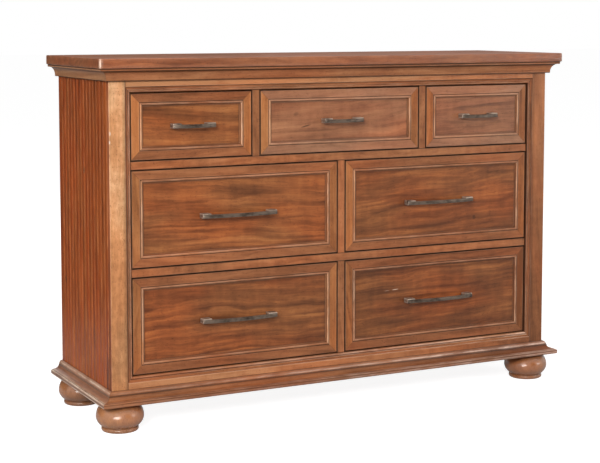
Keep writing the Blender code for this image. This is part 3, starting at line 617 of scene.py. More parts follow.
def hand_marked(outline, bands=(), rubs_and_highlights=()):
    """A closed outline as (x, y, wear mark, glaze mark): worn with a painted highlight where it bends
    outward, glazed with painted shade where it bends inward.

    Each band adds glaze and painted shade: an axis (0 or 1), the place along it, how far it fades out, and
    its strength. Each rub adds wear and painted highlight in the same way.
    """
    dense = []
    for (x0, y0), (x1, y1) in zip(outline, outline[1:] + outline[:1]):
        parts = max(1, math.ceil(math.hypot(x1 - x0, y1 - y0) / MARK_SPACING))
        dense += [(x0 + (x1 - x0) * part / parts, y0 + (y1 - y0) * part / parts) for part in range(parts)]
    count = len(dense)
    gaps = [math.dist(dense[i], dense[(i + 1) % count]) for i in range(count)]
    area = sum(dense[i][0] * dense[(i + 1) % count][1] - dense[(i + 1) % count][0] * dense[i][1]
               for i in range(count))

    def reached(i, way):
        """The point a mark's reach before or after point i."""
        gone = 0.0
        while gone < MARK_REACH:
            gone += gaps[i % count] if way > 0 else gaps[(i - 1) % count]
            i += way
        return dense[i % count]

    marked = []
    for i, (x, y) in enumerate(dense):
        before = reached(i, -1)
        after = reached(i, 1)
        first = math.atan2(y - before[1], x - before[0])
        second = math.atan2(after[1] - y, after[0] - x)
        turn = math.remainder(second - first, math.tau) * math.copysign(1, area)
        glazed_and_shaded = strongest(-turn / FULL_GLAZE_AND_SHADE_TURN, bands, (x, y))
        worn_and_highlit = strongest(turn / FULL_WEAR_AND_HIGHLIGHT_TURN, rubs_and_highlights, (x, y))
        marked.append((x, y, worn_and_highlit * (1 - glazed_and_shaded), glazed_and_shaded))
    kept = []
    for i in range(count):
        x0, y0, *marks0 = marked[i - 1]
        x1, y1, *marks1 = marked[i]
        x2, y2, *marks2 = marked[(i + 1) % count]
        bend = math.remainder(math.atan2(y2 - y1, x2 - x1) - math.atan2(y1 - y0, x1 - x0), math.tau)
        if abs(bend) > STRAIGHT or not marks0 == marks1 == marks2:
            kept.append(marked[i])
    return kept


class Piece:
    """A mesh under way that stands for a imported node: closed shells of boards, mouldings, turned work."""

    boards = 0

    def __init__(self, node):
        self.node = node
        self.low, self.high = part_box(node)
        self.body = node[:node.index("_drawer")] + "_drawer" if "_drawer" in node else "case"
        self.shape = bmesh.new()
        layers = self.shape.verts.layers
        self.timber = layers.float_vector.new("timber")
        self.worn_and_highlit = layers.float.new("worn_and_highlit")
        self.glazed_and_shaded = layers.float.new("glazed_and_shaded")
        self.tint = layers.float.new("tint")
        self.slot = 0

    def new_board(self, order, centre, paler=0.0):
        """Choose how the next board was sawn. order names its axes: along, across, into the face."""
        Piece.boards += 1
        self.paler = paler
        chance = random.Random(Piece.boards * 7919)
        self.axes = ["xyz".index(axis) for axis in order]
        self.centre = centre
        self.shift = Piece.boards * BOARD_SHIFT
        self.heart = (chance.uniform(-HEART_ACROSS, HEART_ACROSS), chance.uniform(*HEART_DEEP))
        self.lean = (chance.uniform(-HEART_LEAN, HEART_LEAN), chance.uniform(-HEART_LEAN, HEART_LEAN))

    def timber_at(self, place):
        """A place's timber coordinates in the board under way."""
        a, c, d = (place[axis] - self.centre[axis] for axis in self.axes)
        return a + self.shift, c - self.heart[0] - a * self.lean[0], d - self.heart[1] - a * self.lean[1]

    def knot(self, finish, place, length, height, slope, strength):
        """Leave a knot in the board under way, to be drawn when its finish is mixed."""
        along, across, _ = self.timber_at(place)
        knots.setdefault(finish, []).append((along, across, length, height, slope - self.lean[0], strength))

    def ring(self, points):
        """A row of points, each (place, wear and highlight mark, glaze and shade mark)."""
        made = []
        for place, worn_and_highlit, glazed_and_shaded in points:
            point = self.shape.verts.new(place)
            point[self.timber] = self.timber_at(place)
            point[self.worn_and_highlit] = worn_and_highlit
            point[self.glazed_and_shaded] = glazed_and_shaded
            point[self.tint] = self.paler
            made.append(point)
        return made

    def face(self, corners):
        """A face in the stain that is in use."""
        made = self.shape.faces.new(corners)
        made.material_index = self.slot
        made.smooth = True

    def skin(self, rings, capped=True):
        """Join rows of points, and close the first and the last."""
        for near, far in zip(rings, rings[1:]):
            for i in range(len(near)):
                self.face((near[i - 1], near[i], far[i], far[i - 1]))
        if capped:
            self.face(rings[0])
            self.face(reversed(rings[-1]))

    def run(self, outline, start, end, outward, up, order, mitres=(0, 0), joint_glaze=JOINT_GLAZE, paler=EVEN,
            rubbed_and_highlit=RUBBED):
        """A straight length of a marked outline, whose x runs outward and y up, with ends cut to a mitre.

        Glaze gathers in the joints at its two ends. The stain may be paler, or its arrises more rubbed and
        highlit, at one end.
        """
        start, end, outward, up = Vector(start), Vector(end), Vector(outward), Vector(up)
        along = (end - start).normalized()
        self.new_board(order, (start + end) / 2)
        rings = []
        ends = ((start, -mitres[0], 1, paler[0], rubbed_and_highlit[0]), (end, mitres[1], -1, paler[1], rubbed_and_highlit[1]))
        for end_place, mitre, into, self.paler, rub in ends:
            pair = []
            for step, extra in ((0.0, joint_glaze), (JOINT_BAND, 0.0)):
                place = end_place + along * into * step
                pair.append(self.ring([(place + outward * x + up * y + along * mitre * x,
                                        worn_and_highlit * rub * (1 - extra), max(glazed_and_shaded, extra))
                                       for x, y, worn_and_highlit, glazed_and_shaded in outline]))
            rings += pair if into > 0 else pair[::-1]
        self.skin(rings)

    def turn(self, profile, centre, order="zxy", steps=FOOT_STEPS, axis=UP):
        """A marked profile (radius, height) turned about an axis through the centre."""
        centre, axis = Vector(centre), Vector(axis)
        side = axis.orthogonal().normalized()
        other = axis.cross(side)
        self.new_board(order, centre)
        rings = []
        for radius, height, worn_and_highlit, glazed_and_shaded in profile:
            if radius >= SEAM / 2:
                angles = [math.tau * step / steps for step in range(steps)]
                rings.append(self.ring([(centre + axis * height + (side * math.cos(t) + other * math.sin(t))
                                         * radius, worn_and_highlit, glazed_and_shaded) for t in angles]))
        self.skin(rings, capped=False)
        poles = [point[1] for point in profile if point[0] < SEAM / 2]
        for row in (rings[0], rings[-1]):
            height = min(poles, key=lambda level: abs((row[0].co - centre).dot(axis) - level))
            pole = self.ring([(centre + axis * height, 0.0, 0.0)])[0]
            for i in range(steps):
                self.face((row[i - 1], row[i], pole))

    def board(self, low, high, order, ease=BOARD_EASE, band=WEAR_BAND, arris_wear_and_glint=1.0, face_sheen=0.0):
        """A board between two corners with all its arrises eased, and worn, with painted highlights, most
        near them.
        """
        low, high = Vector(low), Vector(high)
        size = high - low
        w = min(range(3), key=lambda axis: size[axis])
        u, v = (axis for axis in range(3) if axis != w)
        self.new_board(order, (low + high) / 2)
        band = min(band, min(size[u], size[v]) / 2 - 2.5 * ease, size[w] / 2 - 1.2 * ease)
        quarter = [math.radians(90 * step / EASE_STEPS) for step in range(EASE_STEPS + 1)]
        # Each row: how far in from the edge and how high it lies, its wear, and whether it is at the edge
        rows = [(ease + band, 0.0, 0.0, False)]
        rows += [(ease * (1 - math.sin(t)), ease * (1 - math.cos(t)), arris_wear_and_glint, True) for t in quarter]
        rows += [(0.0, ease + band, 0.0, True), (0.0, size[w] - ease - band, 0.0, True)]
        rows += [(ease * (1 - math.cos(t)), size[w] - ease * (1 - math.sin(t)), arris_wear_and_glint, True)
                 for t in quarter]
        rows += [(ease + band, size[w], 0.0, False)]
        rings = []
        for inset, rise, row_mark, at_edge in rows:
            radius = PLAN_ROUND_SHARE * ease - min(inset, ease)
            points = []
            for su, sv, first in CORNERS:
                corner_u = (high[u] - inset - radius) if su > 0 else (low[u] + inset + radius)
                corner_v = (high[v] - inset - radius) if sv > 0 else (low[v] + inset + radius)
                # A support point stands on each side of the corner, a wear band away from it
                # The rounding of each corner in the face's plane is fully marked: wear, and on the top board
                # a painted highlight
                steps = [(0, 1.0 if 0 < step < EASE_STEPS else CORNER_WEAR, first + 90 * step / EASE_STEPS)
                         for step in range(EASE_STEPS + 1)]
                for away, corner_mark, degrees in ((-1, 0.0, first), *steps, (1, 0.0, first + 90)):
                    angle = math.radians(degrees)
                    spot = Vector()
                    spot[u] = corner_u + radius * math.cos(angle) - away * math.sin(angle) * band
                    spot[v] = corner_v + radius * math.sin(angle) + away * math.cos(angle) * band
                    spot[w] = low[w] + rise
                    worn_and_highlit = max(row_mark, corner_mark, face_sheen) if at_edge else face_sheen
                    points.append((spot, worn_and_highlit, 0.0))
            rings.append(self.ring(points))
        self.skin(rings)

    def stain_and_shade_sides(self, y, before, behind):
        """Give the faces that look left or right one finish in front of y and another behind it. In front it
        is the posts' darker side finish, partly painted shade.
        """
        self.shape.normal_update()
        for face in self.shape.faces:
            if abs(face.normal.x) > SIDE_FACING:
                face.material_index = before if face.calc_center_median().y < y else behind

    def set_in_place(self, name, slot, *stains):
        """Make the object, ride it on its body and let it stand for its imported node."""
        bmesh.ops.recalc_face_normals(self.shape, faces=self.shape.faces)
        mesh = bpy.data.meshes.new(name)
        self.shape.to_mesh(mesh)
        self.shape.free()
        mesh.set_sharp_from_angle(angle=SOFT_ANGLE)
        for stain in stains:
            mesh.materials.append(finishes[stain])
        thing = bpy.data.objects.new(name, mesh)
        bpy.context.scene.collection.objects.link(thing)
        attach(thing, self.body)
        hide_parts(self.node)


def lay_top():
    """The top board."""
    piece = Piece("top_board")
    piece.board(piece.low, piece.high, "xyz", TOP_EASE, TOP_WEAR_BAND, TOP_ARRIS_WEAR)
    piece.set_in_place("top_slab", "stained_wood", "top")


def cornice_section():
    """The cornice from the case outward: foot fillet, cove, lip and top fillet."""
    cove_top = CORNICE_HEIGHT - CORNICE_FILLET
    cove_reach = CORNICE_REACH - CORNICE_LIP
    half_foot = CORNICE_FOOT_HEIGHT / 2
    half_lip = CORNICE_LIP / 2
    return [(SEAM, 0.0),
            *arc((CORNICE_FOOT_REACH - half_foot, half_foot), (half_foot, half_foot), -90, 0, 6),
            *arc((cove_reach, CORNICE_FOOT_HEIGHT),
                 (cove_reach - CORNICE_FOOT_REACH, cove_top - CORNICE_FOOT_HEIGHT), 180, 90),
            *arc((CORNICE_REACH - half_lip, cove_top + half_lip), (half_lip, half_lip), -90, 0, 6),
            (CORNICE_REACH, CORNICE_HEIGHT), (SEAM, CORNICE_HEIGHT)]


def base_section():
    """The base moulding from the case outward: rounded nose, step, cove and bead."""
    bead_low = BASE_HEIGHT - BASE_BEAD_HEIGHT
    cove_reach = BASE_REACH - BASE_STEP
    cove_low = BASE_NOSE_HEIGHT + BASE_QUIRK
    cove_in = BASE_BEAD_REACH + BASE_QUIRK
    ease = (BASE_NOSE_EASE, BASE_NOSE_EASE)
    return [(SEAM, 0.0),
            *arc((BASE_REACH - BASE_NOSE_EASE, BASE_NOSE_EASE), ease, -90, 0, 8),
            *arc((BASE_REACH - BASE_NOSE_EASE, BASE_NOSE_HEIGHT - BASE_NOSE_EASE), ease, 0, 90, 8),
            (cove_reach, BASE_NOSE_HEIGHT),
            *arc((cove_reach, BASE_COVE_TOP), (cove_reach - cove_in, BASE_COVE_TOP - cove_low), 270, 180),
            (cove_in, bead_low),
            *arc((SEAM, bead_low), (BASE_BEAD_REACH - SEAM, BASE_BEAD_HEIGHT), 0, 90, 10)]


def opening_section():
    """The moulding round the drawers: bead, quirk and a rising cove, from its back forward."""
    width = OPENING_WIDTH
    back = OPENING_BACK_Y - BANK_Y
    depth = BANK_Y - FRONT_Y
    bead = width * OPENING_BEAD_SHARE
    low = back + depth * OPENING_BEAD_LOW_SHARE
    high = back + depth * OPENING_BEAD_HIGH_SHARE
    quirk = back + depth * OPENING_QUIRK_SHARE
    rise_low, rise_high = (back + depth * share for share in OPENING_RISE_SHARES)
    bead_face = arc((bead / 2, low), (bead / 2, high - low), 180, 40, 12)
    cove = arc((bead, rise_high), (width - bead, rise_high - rise_low), 270, 340, 10)
    return [(width, 0.0), (0.0, 0.0), *bead_face, (bead, quirk), *cove, (width, rise_high)]


def run_round_case(node, name, front, end):
    """One moulding on the case's front and ends, each given as outline, finish, paler ends and rubbed and
    highlit ends.
    """
    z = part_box(node + "_front")[0].z
    left, right = (-HALF_CASE, FRONT_Y, z), (HALF_CASE, FRONT_Y, z)
    runs = (("_front", left, right, FORWARD, "xzy", (1, 1), front),
            ("_left", left, (-HALF_CASE, BACK_Y, z), LEFT, "yzx", (1, 0), end),
            ("_right", right, (HALF_CASE, BACK_Y, z), RIGHT, "yzx", (1, 0), end))
    for side, start, stop, outward, order, mitres, (outline, finish, paler, rubbed_and_highlit) in runs:
        piece = Piece(node + side)
        piece.run(outline, start, stop, outward, UP, order, mitres, paler=paler, rubbed_and_highlit=rubbed_and_highlit)
        piece.set_in_place(name + side, "moulding_wood", finish)


def run_opening():
    """The four mitred lengths round the drawer bank. The two that lie keep half the glaze and painted shade.
    """
    y = OPENING_BACK_Y
    x0, z0, x1, z1 = BANK_LOW.x, BANK_LOW.z, BANK_HIGH.x, BANK_HIGH.z
    standing = hand_marked(opening_section(), OPENING_GLAZE_AND_SHADE)
    sill = hand_marked(opening_section(), SILL_GLAZE_AND_SHADE, SILL_RUBS)
    lying, sill = ([(out, rise, worn_and_highlit, glazed_and_shaded * LYING_GLAZE_AND_SHADE_SHARE) for out, rise, worn_and_highlit, glazed_and_shaded in outline]
                   for outline in (standing, sill))
    runs = (("top", lying, (x0, y, z1), (x1, y, z1), UP, "xzy", "moulding", EVEN, RUBBED),
            ("bottom", sill, (x0, y, z0), (x1, y, z0), DOWN, "xzy", "sill", EVEN, FRONT_RUBS_AND_SHEEN),
            ("left", standing, (x0, y, z0), (x0, y, z1), LEFT, "zxy", "moulding", BANK_PALER, RUBBED),
            ("right", standing, (x1, y, z0), (x1, y, z1), RIGHT, "zxy", "moulding", BANK_PALER, RUBBED))
    for side, outline, start, end, outward, order, finish, paler, rubbed_and_highlit in runs:
        piece = Piece("opening_moulding_" + side)
        piece.run(outline, start, end, outward, FORWARD, order, (1, 1), paler=paler, rubbed_and_highlit=rubbed_and_highlit)
        piece.set_in_place("bank_moulding_" + side, "moulding_wood", finish)


def board_section(width, depth, ease=BOARD_EASE):
    """A board's section: x across it and y forward from its back, with its front arrises eased."""
    front = depth - ease
    return [(0.0, 0.0), *arc((ease, front), (ease, ease), 180, 90, EASE_STEPS),
            *arc((width - ease, front), (ease, ease), 90, 0, EASE_STEPS), (width, 0.0)]


def post_section(width, depth, outer):
    """A post's section: a board with a plank's groove in its outer face, its first (0) or its last (1)."""
    face = outer * width
    groove = depth - POST_BOARD
    notch = [(face, groove - PLANK_CHAMFER), (abs(face - PLANK_GROOVE), groove),
             (face, groove + PLANK_CHAMFER)]
    section = board_section(width, depth, POST_EASE)
    return section[:-1] + notch[::-1] + section[-1:] if outer else section[:1] + notch + section[1:]


def front_board(piece, low, high, edges=(0, 1), paler=EVEN, section=None, glaze_and_shade=EDGE_SHADE):
    """A board in the case's front, which stands if it is taller than wide.

    Glaze and painted shade lie along its first edge (0), its last (1) or both.
    """
    stands = high.z - low.z > high.x - low.x
    width = high.x - low.x if stands else high.z - low.z
    outline = hand_marked(section or board_section(width, high.y - low.y),
                          [(0, edge * width, *glaze_and_shade) for edge in edges])
    start = (low.x, high.y, low.z)
    if stands:
        piece.run(outline, start, (low.x, high.y, high.z), RIGHT, FORWARD, "zxy", paler=paler)
    else:
        piece.run(outline, start, (high.x, high.y, low.z), UP, FORWARD, "xzy", paler=paler)


def frame_case():
    """Stiles, rails and dividers."""
    for outer, label in enumerate(("left", "right")):
        piece = Piece(label + "_stile")
        low, high = piece.low, piece.high
        section = post_section(high.x - low.x, high.y - low.y, outer)
        front_board(piece, low, high, (1 - outer,), POST_PALER, section, POST_SHADE)
        for z, length, height in POST_CHIPS if label == "left" else ():
            place = Vector((low.x + height / 2, low.y, z))
            piece.knot("left_post scratch", place, length, height, 0.0, CHIP_STRENGTH)
        piece.stain_and_shade_sides(low.y + POST_BOARD, 1, 2)
        piece.set_in_place(label + "_post", "stile_wood", label + "_post", "post_side", "side")
    for name in ("top_left", "top_right", "middle", "bottom"):
        piece = Piece(name + "_divider")
        front_board(piece, piece.low, piece.high)
        piece.set_in_place(name + "_post", "stained_wood", "rail")
    for name in ("lower", "upper"):
        piece = Piece(name + "_row_rail")
        piece.low.x, piece.high.x = BANK_LOW.x + SEAM, BANK_HIGH.x - SEAM
        front_board(piece, piece.low, piece.high)
        piece.set_in_place(name + "_rail", "stained_wood", "rail")
    piece = Piece("top_rail")
    front_board(piece, piece.low, piece.high, (1,), HEAD_PAINTED_LIGHT)
    piece.set_in_place("head_rail", "stained_wood", "rail")
    # Only the bottom rail's front shows, below the opening moulding
    piece = Piece("bottom_rail")
    low, high = piece.low, piece.high
    shown = Vector((high.x, OPENING_BACK_Y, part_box("opening_moulding_bottom")[0].z - SEAM))
    front_board(piece, low, shown, (0,), FOOT_RAIL_PAINTED_LIGHT)
    piece.board((low.x, OPENING_BACK_Y + SEAM, low.z), high, "xzy")
    piece.set_in_place("foot_rail", "stained_wood", "rail")


def plank_section(width, thickness):
    """A plank's plan: x outward from its back, y along the side, with a bead beside its first groove."""
    face = thickness
    bead_end = PLANK_CHAMFER + PLANK_BEAD
    return [(0.0, 0.0), (face - PLANK_GROOVE, 0.0), (face - PLANK_GROOVE * 0.35, PLANK_CHAMFER * 0.8),
            *arc((face - PLANK_BEAD_DROP * 2, PLANK_CHAMFER + PLANK_BEAD / 2),
                 (PLANK_BEAD_DROP * 2, PLANK_BEAD / 2), -70, 70, 8),
            (face - PLANK_BEAD_DROP * 1.6, bead_end), (face, bead_end + PLANK_BEAD_DROP),
            (face, width - PLANK_CHAMFER), (face - PLANK_GROOVE, width), (0.0, width)]


def plank_sides():
    """Both sides of the case, in beaded planks behind the stile."""
    for side, label in ((-1, "left"), (1, "right")):
        piece = Piece(label + "_side_panel")
        low, high = piece.low, piece.high
        thickness = high.x - low.x
        inner = side * (HALF_CASE - thickness)
        start = low.y
        while start < high.y - SEAM:
            width = min(PLANK_PITCH, high.y - start)
            if high.y - start - width < PLANK_PITCH / 2:
                width = high.y - start
            outline = hand_marked(plank_section(width, thickness),
                                  [(1, edge, *PLANK_GLAZE_AND_SHADE) for edge in (0.0, width)])
            piece.run(outline, (inner, start, low.z), (inner, start, high.z), (side, 0, 0), (0, 1, 0), "zyx",
                      joint_glaze=PLANK_JOINT_GLAZE, paler=SIDE_PALER)
            for y, z in SIDE_KNOTS:
                if side < 0 and start < y < start + width:
                    piece.knot("side", Vector((low.x, y, z)), *SIDE_KNOT_SIZE, 0.0, 1.0)
            start += width
        piece.set_in_place(label + "_planking", "side_wood", "side")


def foot_profile():
    """A bun foot as (radius, height) from its top down its outer side: bulge, neck, ring and sole."""
    low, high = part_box("front_left_foot")
    bulge = (high.x - low.x) / 2
    top_turn = math.degrees(math.acos(FOOT_TOP_RADIUS / bulge))
    neck_turn = math.degrees(math.acos(FOOT_NECK_RADIUS / bulge))
    top_rise = (FOOT_HEIGHT - FOOT_BULGE_HEIGHT) / math.sin(math.radians(top_turn))
    neck_drop = (FOOT_BULGE_HEIGHT - FOOT_NECK_HEIGHT) / math.sin(math.radians(neck_turn))
    middle = (0.0, FOOT_BULGE_HEIGHT)
    swell = FOOT_RING_RADIUS - FOOT_SOLE_RADIUS
    half_ring = FOOT_NECK_HEIGHT / 2
    return [(0.0, FOOT_HEIGHT), *arc(middle, (bulge, top_rise), top_turn, 0, FOOT_ARC_STEPS),
            *arc(middle, (bulge, neck_drop), 0, -neck_turn, FOOT_ARC_STEPS)[1:],
            *arc((FOOT_SOLE_RADIUS, half_ring), (swell, half_ring), 60, -90, RING_ARC_STEPS), (0.0, 0.0)]


def turn_feet():
    """Four turned bun feet."""
    profile = [point for point in hand_marked(foot_profile(), FOOT_SHADE)
               if point[0] > FOOT_SOLE_RADIUS * FOOT_HOLLOW_SHARE]
    profile += [(0.0, FOOT_HEIGHT, 0.0, 0.0), (0.0, 0.0, 0.0, 0.0)]
    for node in ("front_left_foot", "front_right_foot", "back_left_foot", "back_right_foot"):
        piece = Piece(node)
        low, high = piece.low, piece.high
        piece.turn(profile, ((low.x + high.x) / 2, (low.y + high.y) / 2, 0.0))
        piece.set_in_place(node + "_turning", "foot_wood", "foot")


def member_section():
    """One side of a drawer front: x inward from its outer edge, y forward from its back."""
    face = FRONT_THICKNESS
    quirk = FRAME_WIDTH - FRAME_QUIRK_WIDTH / 2
    crest = face - FRAME_QUIRK_DEPTH
    proud = BANK_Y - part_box("top_left_drawer_front")[0].y
    inner = FRAME_WIDTH + BEAD_WIDTH
    round_end = FRAME_WIDTH + BEAD_ROUND_WIDTH
    panel = face - PANEL_SINK
    shoulder = face - PANEL_SINK * 0.30
    half = BEAD_ROUND_WIDTH / 2
    bead = arc((FRAME_WIDTH + half, crest), (half, proud + FRAME_QUIRK_DEPTH), 165, 12, 14)
    cove = arc((inner, shoulder), (inner - round_end, shoulder - panel), 180, 262, 8)
    return [(0.0, 0.0), *arc((FRAME_EASE, face - FRAME_EASE), (FRAME_EASE, FRAME_EASE), 180, 90, 4),
            (quirk - FRAME_QUIRK_WIDTH / 2, face), (quirk, crest), *bead, *cove, (inner, panel),
            (inner, 0.0)]


def drawer_front(name):
    """A drawer front: four mitred members with their bead, and the sunk panel between them."""
    piece = Piece(name + "_drawer_front")
    x0, z0, x1, z1 = piece.low.x, piece.low.z, piece.high.x, piece.high.z
    back = piece.high.y
    outline = hand_marked(member_section(), MEMBER_GLAZE_AND_SHADE)
    members = ((0, (x0, back, z1), (x1, back, z1), DOWN, "xzy"),
               (0, (x0, back, z0), (x1, back, z0), UP, "xzy"),
               (1, (x0, back, z0), (x0, back, z1), RIGHT, "zxy"),
               (1, (x1, back, z0), (x1, back, z1), LEFT, "zxy"))
    for (piece.slot, start, end, inward, order), paler in zip(members, MEMBER_PALER[name]):
        piece.run(outline, start, end, inward, FORWARD, order, (-1, -1), paler=(paler, paler))
    piece.slot = 2
    painted_sheen = "misty_" if name in PAINTED_SHEEN_PANELS else ""
    panel = painted_sheen + "panel"
    face_y = back - FRONT_THICKNESS + PANEL_SINK
    piece.new_board("xzy", Vector(((x0 + x1) / 2, face_y, (z0 + z1) / 2)), PANEL_PALER[name])
    for finish, marks in ((panel, PANEL_KNOTS), (panel + " scratch", SCRATCHES)):
        for x, z, *shape in marks.get(name, ()):
            piece.knot(finish, Vector((x, face_y, z)), *shape)
    inset = FRAME_WIDTH + BEAD_WIDTH + SEAM / 3
    rings = []
    for step, y, glazed_and_shaded in ((0.0, back, 0.0), *((step, face_y, glazed_and_shaded) for step, glazed_and_shaded in PANEL_GLAZE_AND_SHADE)):
        step += inset
        left, right, bottom, top = x0 + step, x1 - step, z0 + step, z1 - step
        corners = ((left, bottom), (right, bottom), (right, top), (left, top))
        rings.append(piece.ring([(Vector((x, y, z)), 0.0, glazed_and_shaded) for x, z in corners]))
    piece.skin(rings)
    piece.set_in_place(name + "_front", "front_wood", painted_sheen + "frame", "highlit_upright", panel)


def drawer_box(name):
    """A drawer's two sides and back, and the tails of its sides let into the ends of the front."""
    front_low, front_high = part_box(name + "_drawer_front")
    piece = Piece(name + "_drawer_box")
    (x0, y0, z0), (x1, y1, z1) = piece.low, piece.high
    piece.board((x0, y0, z0), (x0 + BOX_WALL, y1, z1), "yzx", BOX_EASE)
    piece.board((x1 - BOX_WALL, y0, z0), (x1, y1, z1), "yzx", BOX_EASE)
    piece.board((x0 + BOX_WALL + SEAM, y1 - BOX_WALL, z0), (x1 - BOX_WALL - SEAM, y1, z1), "xzy", BOX_EASE)
    count = round((z1 - z0) / TAIL_PITCH)
    pitch = (z1 - z0) / count
    half_end = TAIL_ROOT + TAIL_FLARE
    outline = [(x, y, 0.0, 0.0) for x, y in ((0.0, -TAIL_ROOT), (TAIL_LENGTH, -half_end),
                                             (TAIL_LENGTH, half_end), (0.0, TAIL_ROOT))]
    for side, end_x in ((-1, front_low.x), (1, front_high.x)):
        for tail in range(count):
            middle = z0 + pitch * (tail + 0.5)
            piece.run(outline, (end_x - side * TAIL_DEPTH, front_high.y, middle),
                      (end_x + side * TAIL_PROUD, front_high.y, middle), FORWARD, UP, "yzx", joint_glaze=0.0)
    piece.set_in_place(name + "_box", "drawer_box_wood", "box")


def bar_ring(piece, middle, across, height, shrink):
    """One station of a pull's bar: a rounded rectangle standing up, square to the bar."""
    half_height = height / 2 - shrink - BAR_EASE
    half_thick = BAR_THICKNESS / 2 - shrink - BAR_EASE
    points = []
    for sign_h, sign_t, first in CORNERS:
        centre = (sign_h * half_height, sign_t * half_thick)
        points += [(middle + Vector((0, 0, up)) + across * out, BAR_WEAR, 0.0)
                   for up, out in arc(centre, (BAR_EASE, BAR_EASE), first, first + 90, EASE_STEPS)]
    return piece.ring(points)


def bow_pull(name):
    """A pull: a flat bar bowed forward on two taller feet, with its screws' heads inside the drawer."""
    piece = Piece(name + "_drawer_pull")
    low, high = piece.low, piece.high
    seat = BANK_Y + PANEL_SINK - SEAM
    middle_x, middle_z = (low.x + high.x) / 2, (low.z + high.z) / 2
    half_length = (high.x - low.x) / 2
    bar_height = high.z - low.z - PULL_FOOT_RISE
    bar_z = low.z + SEAM + bar_height / 2
    reach = seat - low.y - PULL_BOW
    piece.new_board("xzy", Vector((middle_x, seat, middle_z)))
    rings = []
    for step in range(BAR_STATIONS + 1):
        turn = 2 * step / BAR_STATIONS - 1
        x = turn * (half_length - SEAM)
        bow = PULL_BOW * (1 - turn * turn)
        across = Vector((-2 * PULL_BOW * turn / half_length, 1.0, 0.0)).normalized()
        place = Vector((middle_x + x, seat - reach - bow, bar_z)) + across * BAR_THICKNESS / 2
        stations = [(place, 0.0)]
        if step in (0, BAR_STATIONS):
            inner = place + Vector((-math.copysign(BAR_EASE, turn), 0, 0))
            stations = [(place, BAR_EASE * BAR_END_SHRINK), (inner, 0.0)]
        pair = [bar_ring(piece, spot, across, bar_height, shrink) for spot, shrink in stations]
        rings += pair if step == 0 else pair[::-1]
    piece.skin(rings)
    foot_y = seat - reach + PULL_FOOT_SET_BACK
    for side in (-1, 1):
        outer = middle_x + side * half_length
        inner = outer - side * PULL_FOOT_WIDTH
        piece.board((min(outer, inner), foot_y, low.z), (max(outer, inner), seat, high.z), "xzy",
                    PULL_FOOT_EASE, face_sheen=PULL_FOOT_SHEEN)
    piece.slot = 1
    rim = SCREW_HEAD_HEIGHT * SCREW_RIM_SHARE
    dome = arc((0.0, rim), (SCREW_HEAD_RADIUS, SCREW_HEAD_HEIGHT * (1 - SCREW_RIM_SHARE)), 0, 84, 8)
    head = [(radius, rise, SCREW_WEAR, 0.0)
            for radius, rise in ((0.0, 0.0), (SCREW_HEAD_RADIUS, 0.0), *dome, (0.0, SCREW_HEAD_HEIGHT))]
    head_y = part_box(name + "_drawer_front")[1].y
    for side in (-1, 1):
        x = middle_x + side * (half_length - PULL_FOOT_WIDTH / 2)
        piece.turn(head, (x, head_y, middle_z), "yxz", SCREW_STEPS, (0, 1, 0))
    piece.set_in_place(name + "_pull", "aged_metal", "pull", "screw")


def dress_plain_boards():
    """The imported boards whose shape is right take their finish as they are."""
    dressed = {"base_board": "base", "back_panel": "back", "lower_dust_panel": "dust",
               "middle_dust_panel": "dust", "upper_dust_panel": "dust"}
    dressed.update((name + "_drawer_bottom", "bottom") for name in DRAWERS)
    for node, finish in dressed.items():
        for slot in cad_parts[node].material_slots:
            slot.material = finishes[finish]


def stage_sheet(name, corners, material):
    """A flat sheet of the studio, through four corners."""
    mesh = bpy.data.meshes.new(name)
    mesh.from_pydata([Vector(corner) for corner in corners], [], [(0, 1, 2, 3)])
    mesh.materials.append(material)
    sheet = bpy.data.objects.new(name, mesh)
    bpy.context.scene.collection.objects.link(sheet)
    return sheet


def lay_floor():
    """A plain pale floor, white where the camera sees it lit, in faint shade under the dresser."""
    material = bare_material("floor_paper")
    start = Socket(material.node_tree)
    ray = start.add("LightPath", output="Is Camera Ray")
    paper = start.add("BsdfDiffuse", {"Color": FLOOR_COLOUR})
    bright, sheen = [
        start.add("AddShader", {0: paper, 1: start.add("Emission", {"Color": WHITE, "Strength": strength})})
        for strength in (FLOOR_GLOW, FLOOR_SHEEN)]
    unseen = start.add("MixShader", {0: ray.out("Is Glossy Ray"), 1: paper, 2: sheen})
    unseen = start.add("MixShader", {0: ray.out("Is Transmission Ray"), 1: unseen, 2: bright})
    start.close(start.add("MixShader", {0: ray, 1: unseen, 2: bright}))
    half = HALF_FLOOR
    stage_sheet("studio_floor", [(-half, -half, 0), (half, -half, 0), (half, half, 0), (-half, half, 0)],
                material)


def hang_sheets():
    """The dark flags and the bright cards."""
    for name, ((x0, z0), (x1, z1), y, tone) in SHEETS.items():
        material = bare_material(name + "_cloth")
        start = Socket(material.node_tree)
        start.close(start.add("Emission", {"Color": tone, "Strength": 1.0}))
        sheet = stage_sheet(name, [(x0, y, z0), (x1, y, z0), (x1, y, z1), (x0, y, z1)], material)
        sheet.visible_camera = False
        sheet.visible_diffuse = False
        sheet.visible_transmission = False
        sheet.visible_volume_scatter = False
        sheet.visible_shadow = False


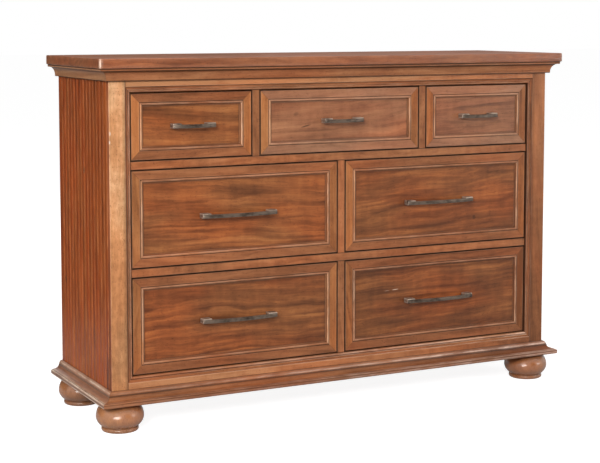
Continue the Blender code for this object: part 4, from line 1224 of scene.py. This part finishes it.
def light_studio():
    """Soft boxes on all sides and overhead, and an even world that is white where it is seen."""
    for name, (place, target, width, height, power) in LAMPS.items():
        lamp = bpy.data.lights.new(name, "AREA")
        lamp.shape = "RECTANGLE"
        lamp.size = width
        lamp.size_y = height
        lamp.energy = power
        box = bpy.data.objects.new(name, lamp)
        box.location = place
        box.rotation_euler = (Vector(target) - Vector(place)).to_track_quat("-Z", "Y").to_euler()
        box.visible_camera = False
        box.visible_glossy = False
        bpy.context.scene.collection.objects.link(box)
    world = bpy.data.worlds.new("studio")
    world.use_nodes = True
    world.node_tree.nodes.clear()
    start = Socket(world.node_tree)
    ray = start.add("LightPath", output="Is Camera Ray")
    seen = ray + ray.out("Is Glossy Ray") + ray.out("Is Transmission Ray")
    room, white = [start.add("Background", {"Color": WHITE, "Strength": strength})
                   for strength in (ROOM_LIGHT, 1.0)]
    start.add("OutputWorld", {"Surface": start.add("MixShader", {0: seen, 1: room, 2: white})})
    bpy.context.scene.world = world


def set_camera():
    """The photograph's view: from the left, a little above the top, looking slightly down."""
    camera = bpy.data.cameras.new("camera")
    camera.lens = CAMERA_LENS
    camera.sensor_width = CAMERA_SENSOR
    camera.shift_y = CAMERA_SHIFT
    view = bpy.data.objects.new("camera", camera)
    view.location = CAMERA_PLACE
    view.rotation_euler = (math.radians(90 - CAMERA_DIP), 0.0, math.radians(CAMERA_TURN))
    bpy.context.scene.collection.objects.link(view)
    bpy.context.scene.camera = view
    bpy.context.scene.view_settings.view_transform = "Standard"


set_camera()
finishes = {name: bare_material("dresser_" + name) for name in (*WOODS, *METALS)}
knots = {}
lay_top()
crown = hand_marked(cornice_section(), CORNICE_GLAZE_AND_SHADE, CORNICE_RUBS)
run_round_case("cornice", "crown", (crown, "moulding", CORNICE_PALER, FRONT_RUBS_AND_SHEEN),
               (crown, "crown_end_sheen", CORNICE_PALER, RUBBED))
run_round_case("base_moulding", "plinth",
               (hand_marked(base_section(), BASE_GLAZE_AND_SHADE, BASE_RUBS_AND_HIGHLIGHTS), "plinth", PLINTH_PAINTED_LIGHT, FRONT_RUBS_AND_SHEEN),
               (hand_marked(base_section(), BASE_END_GLAZE_AND_SHADE, BASE_END_RUBS_AND_HIGHLIGHTS), "plinth_end_sheen", EVEN, RUBBED))
run_opening()
frame_case()
plank_sides()
turn_feet()
for drawer in DRAWERS:
    drawer_front(drawer)
    drawer_box(drawer)
    bow_pull(drawer)
dress_plain_boards()
mix_finishes()
lay_floor()
hang_sheets()
light_studio()
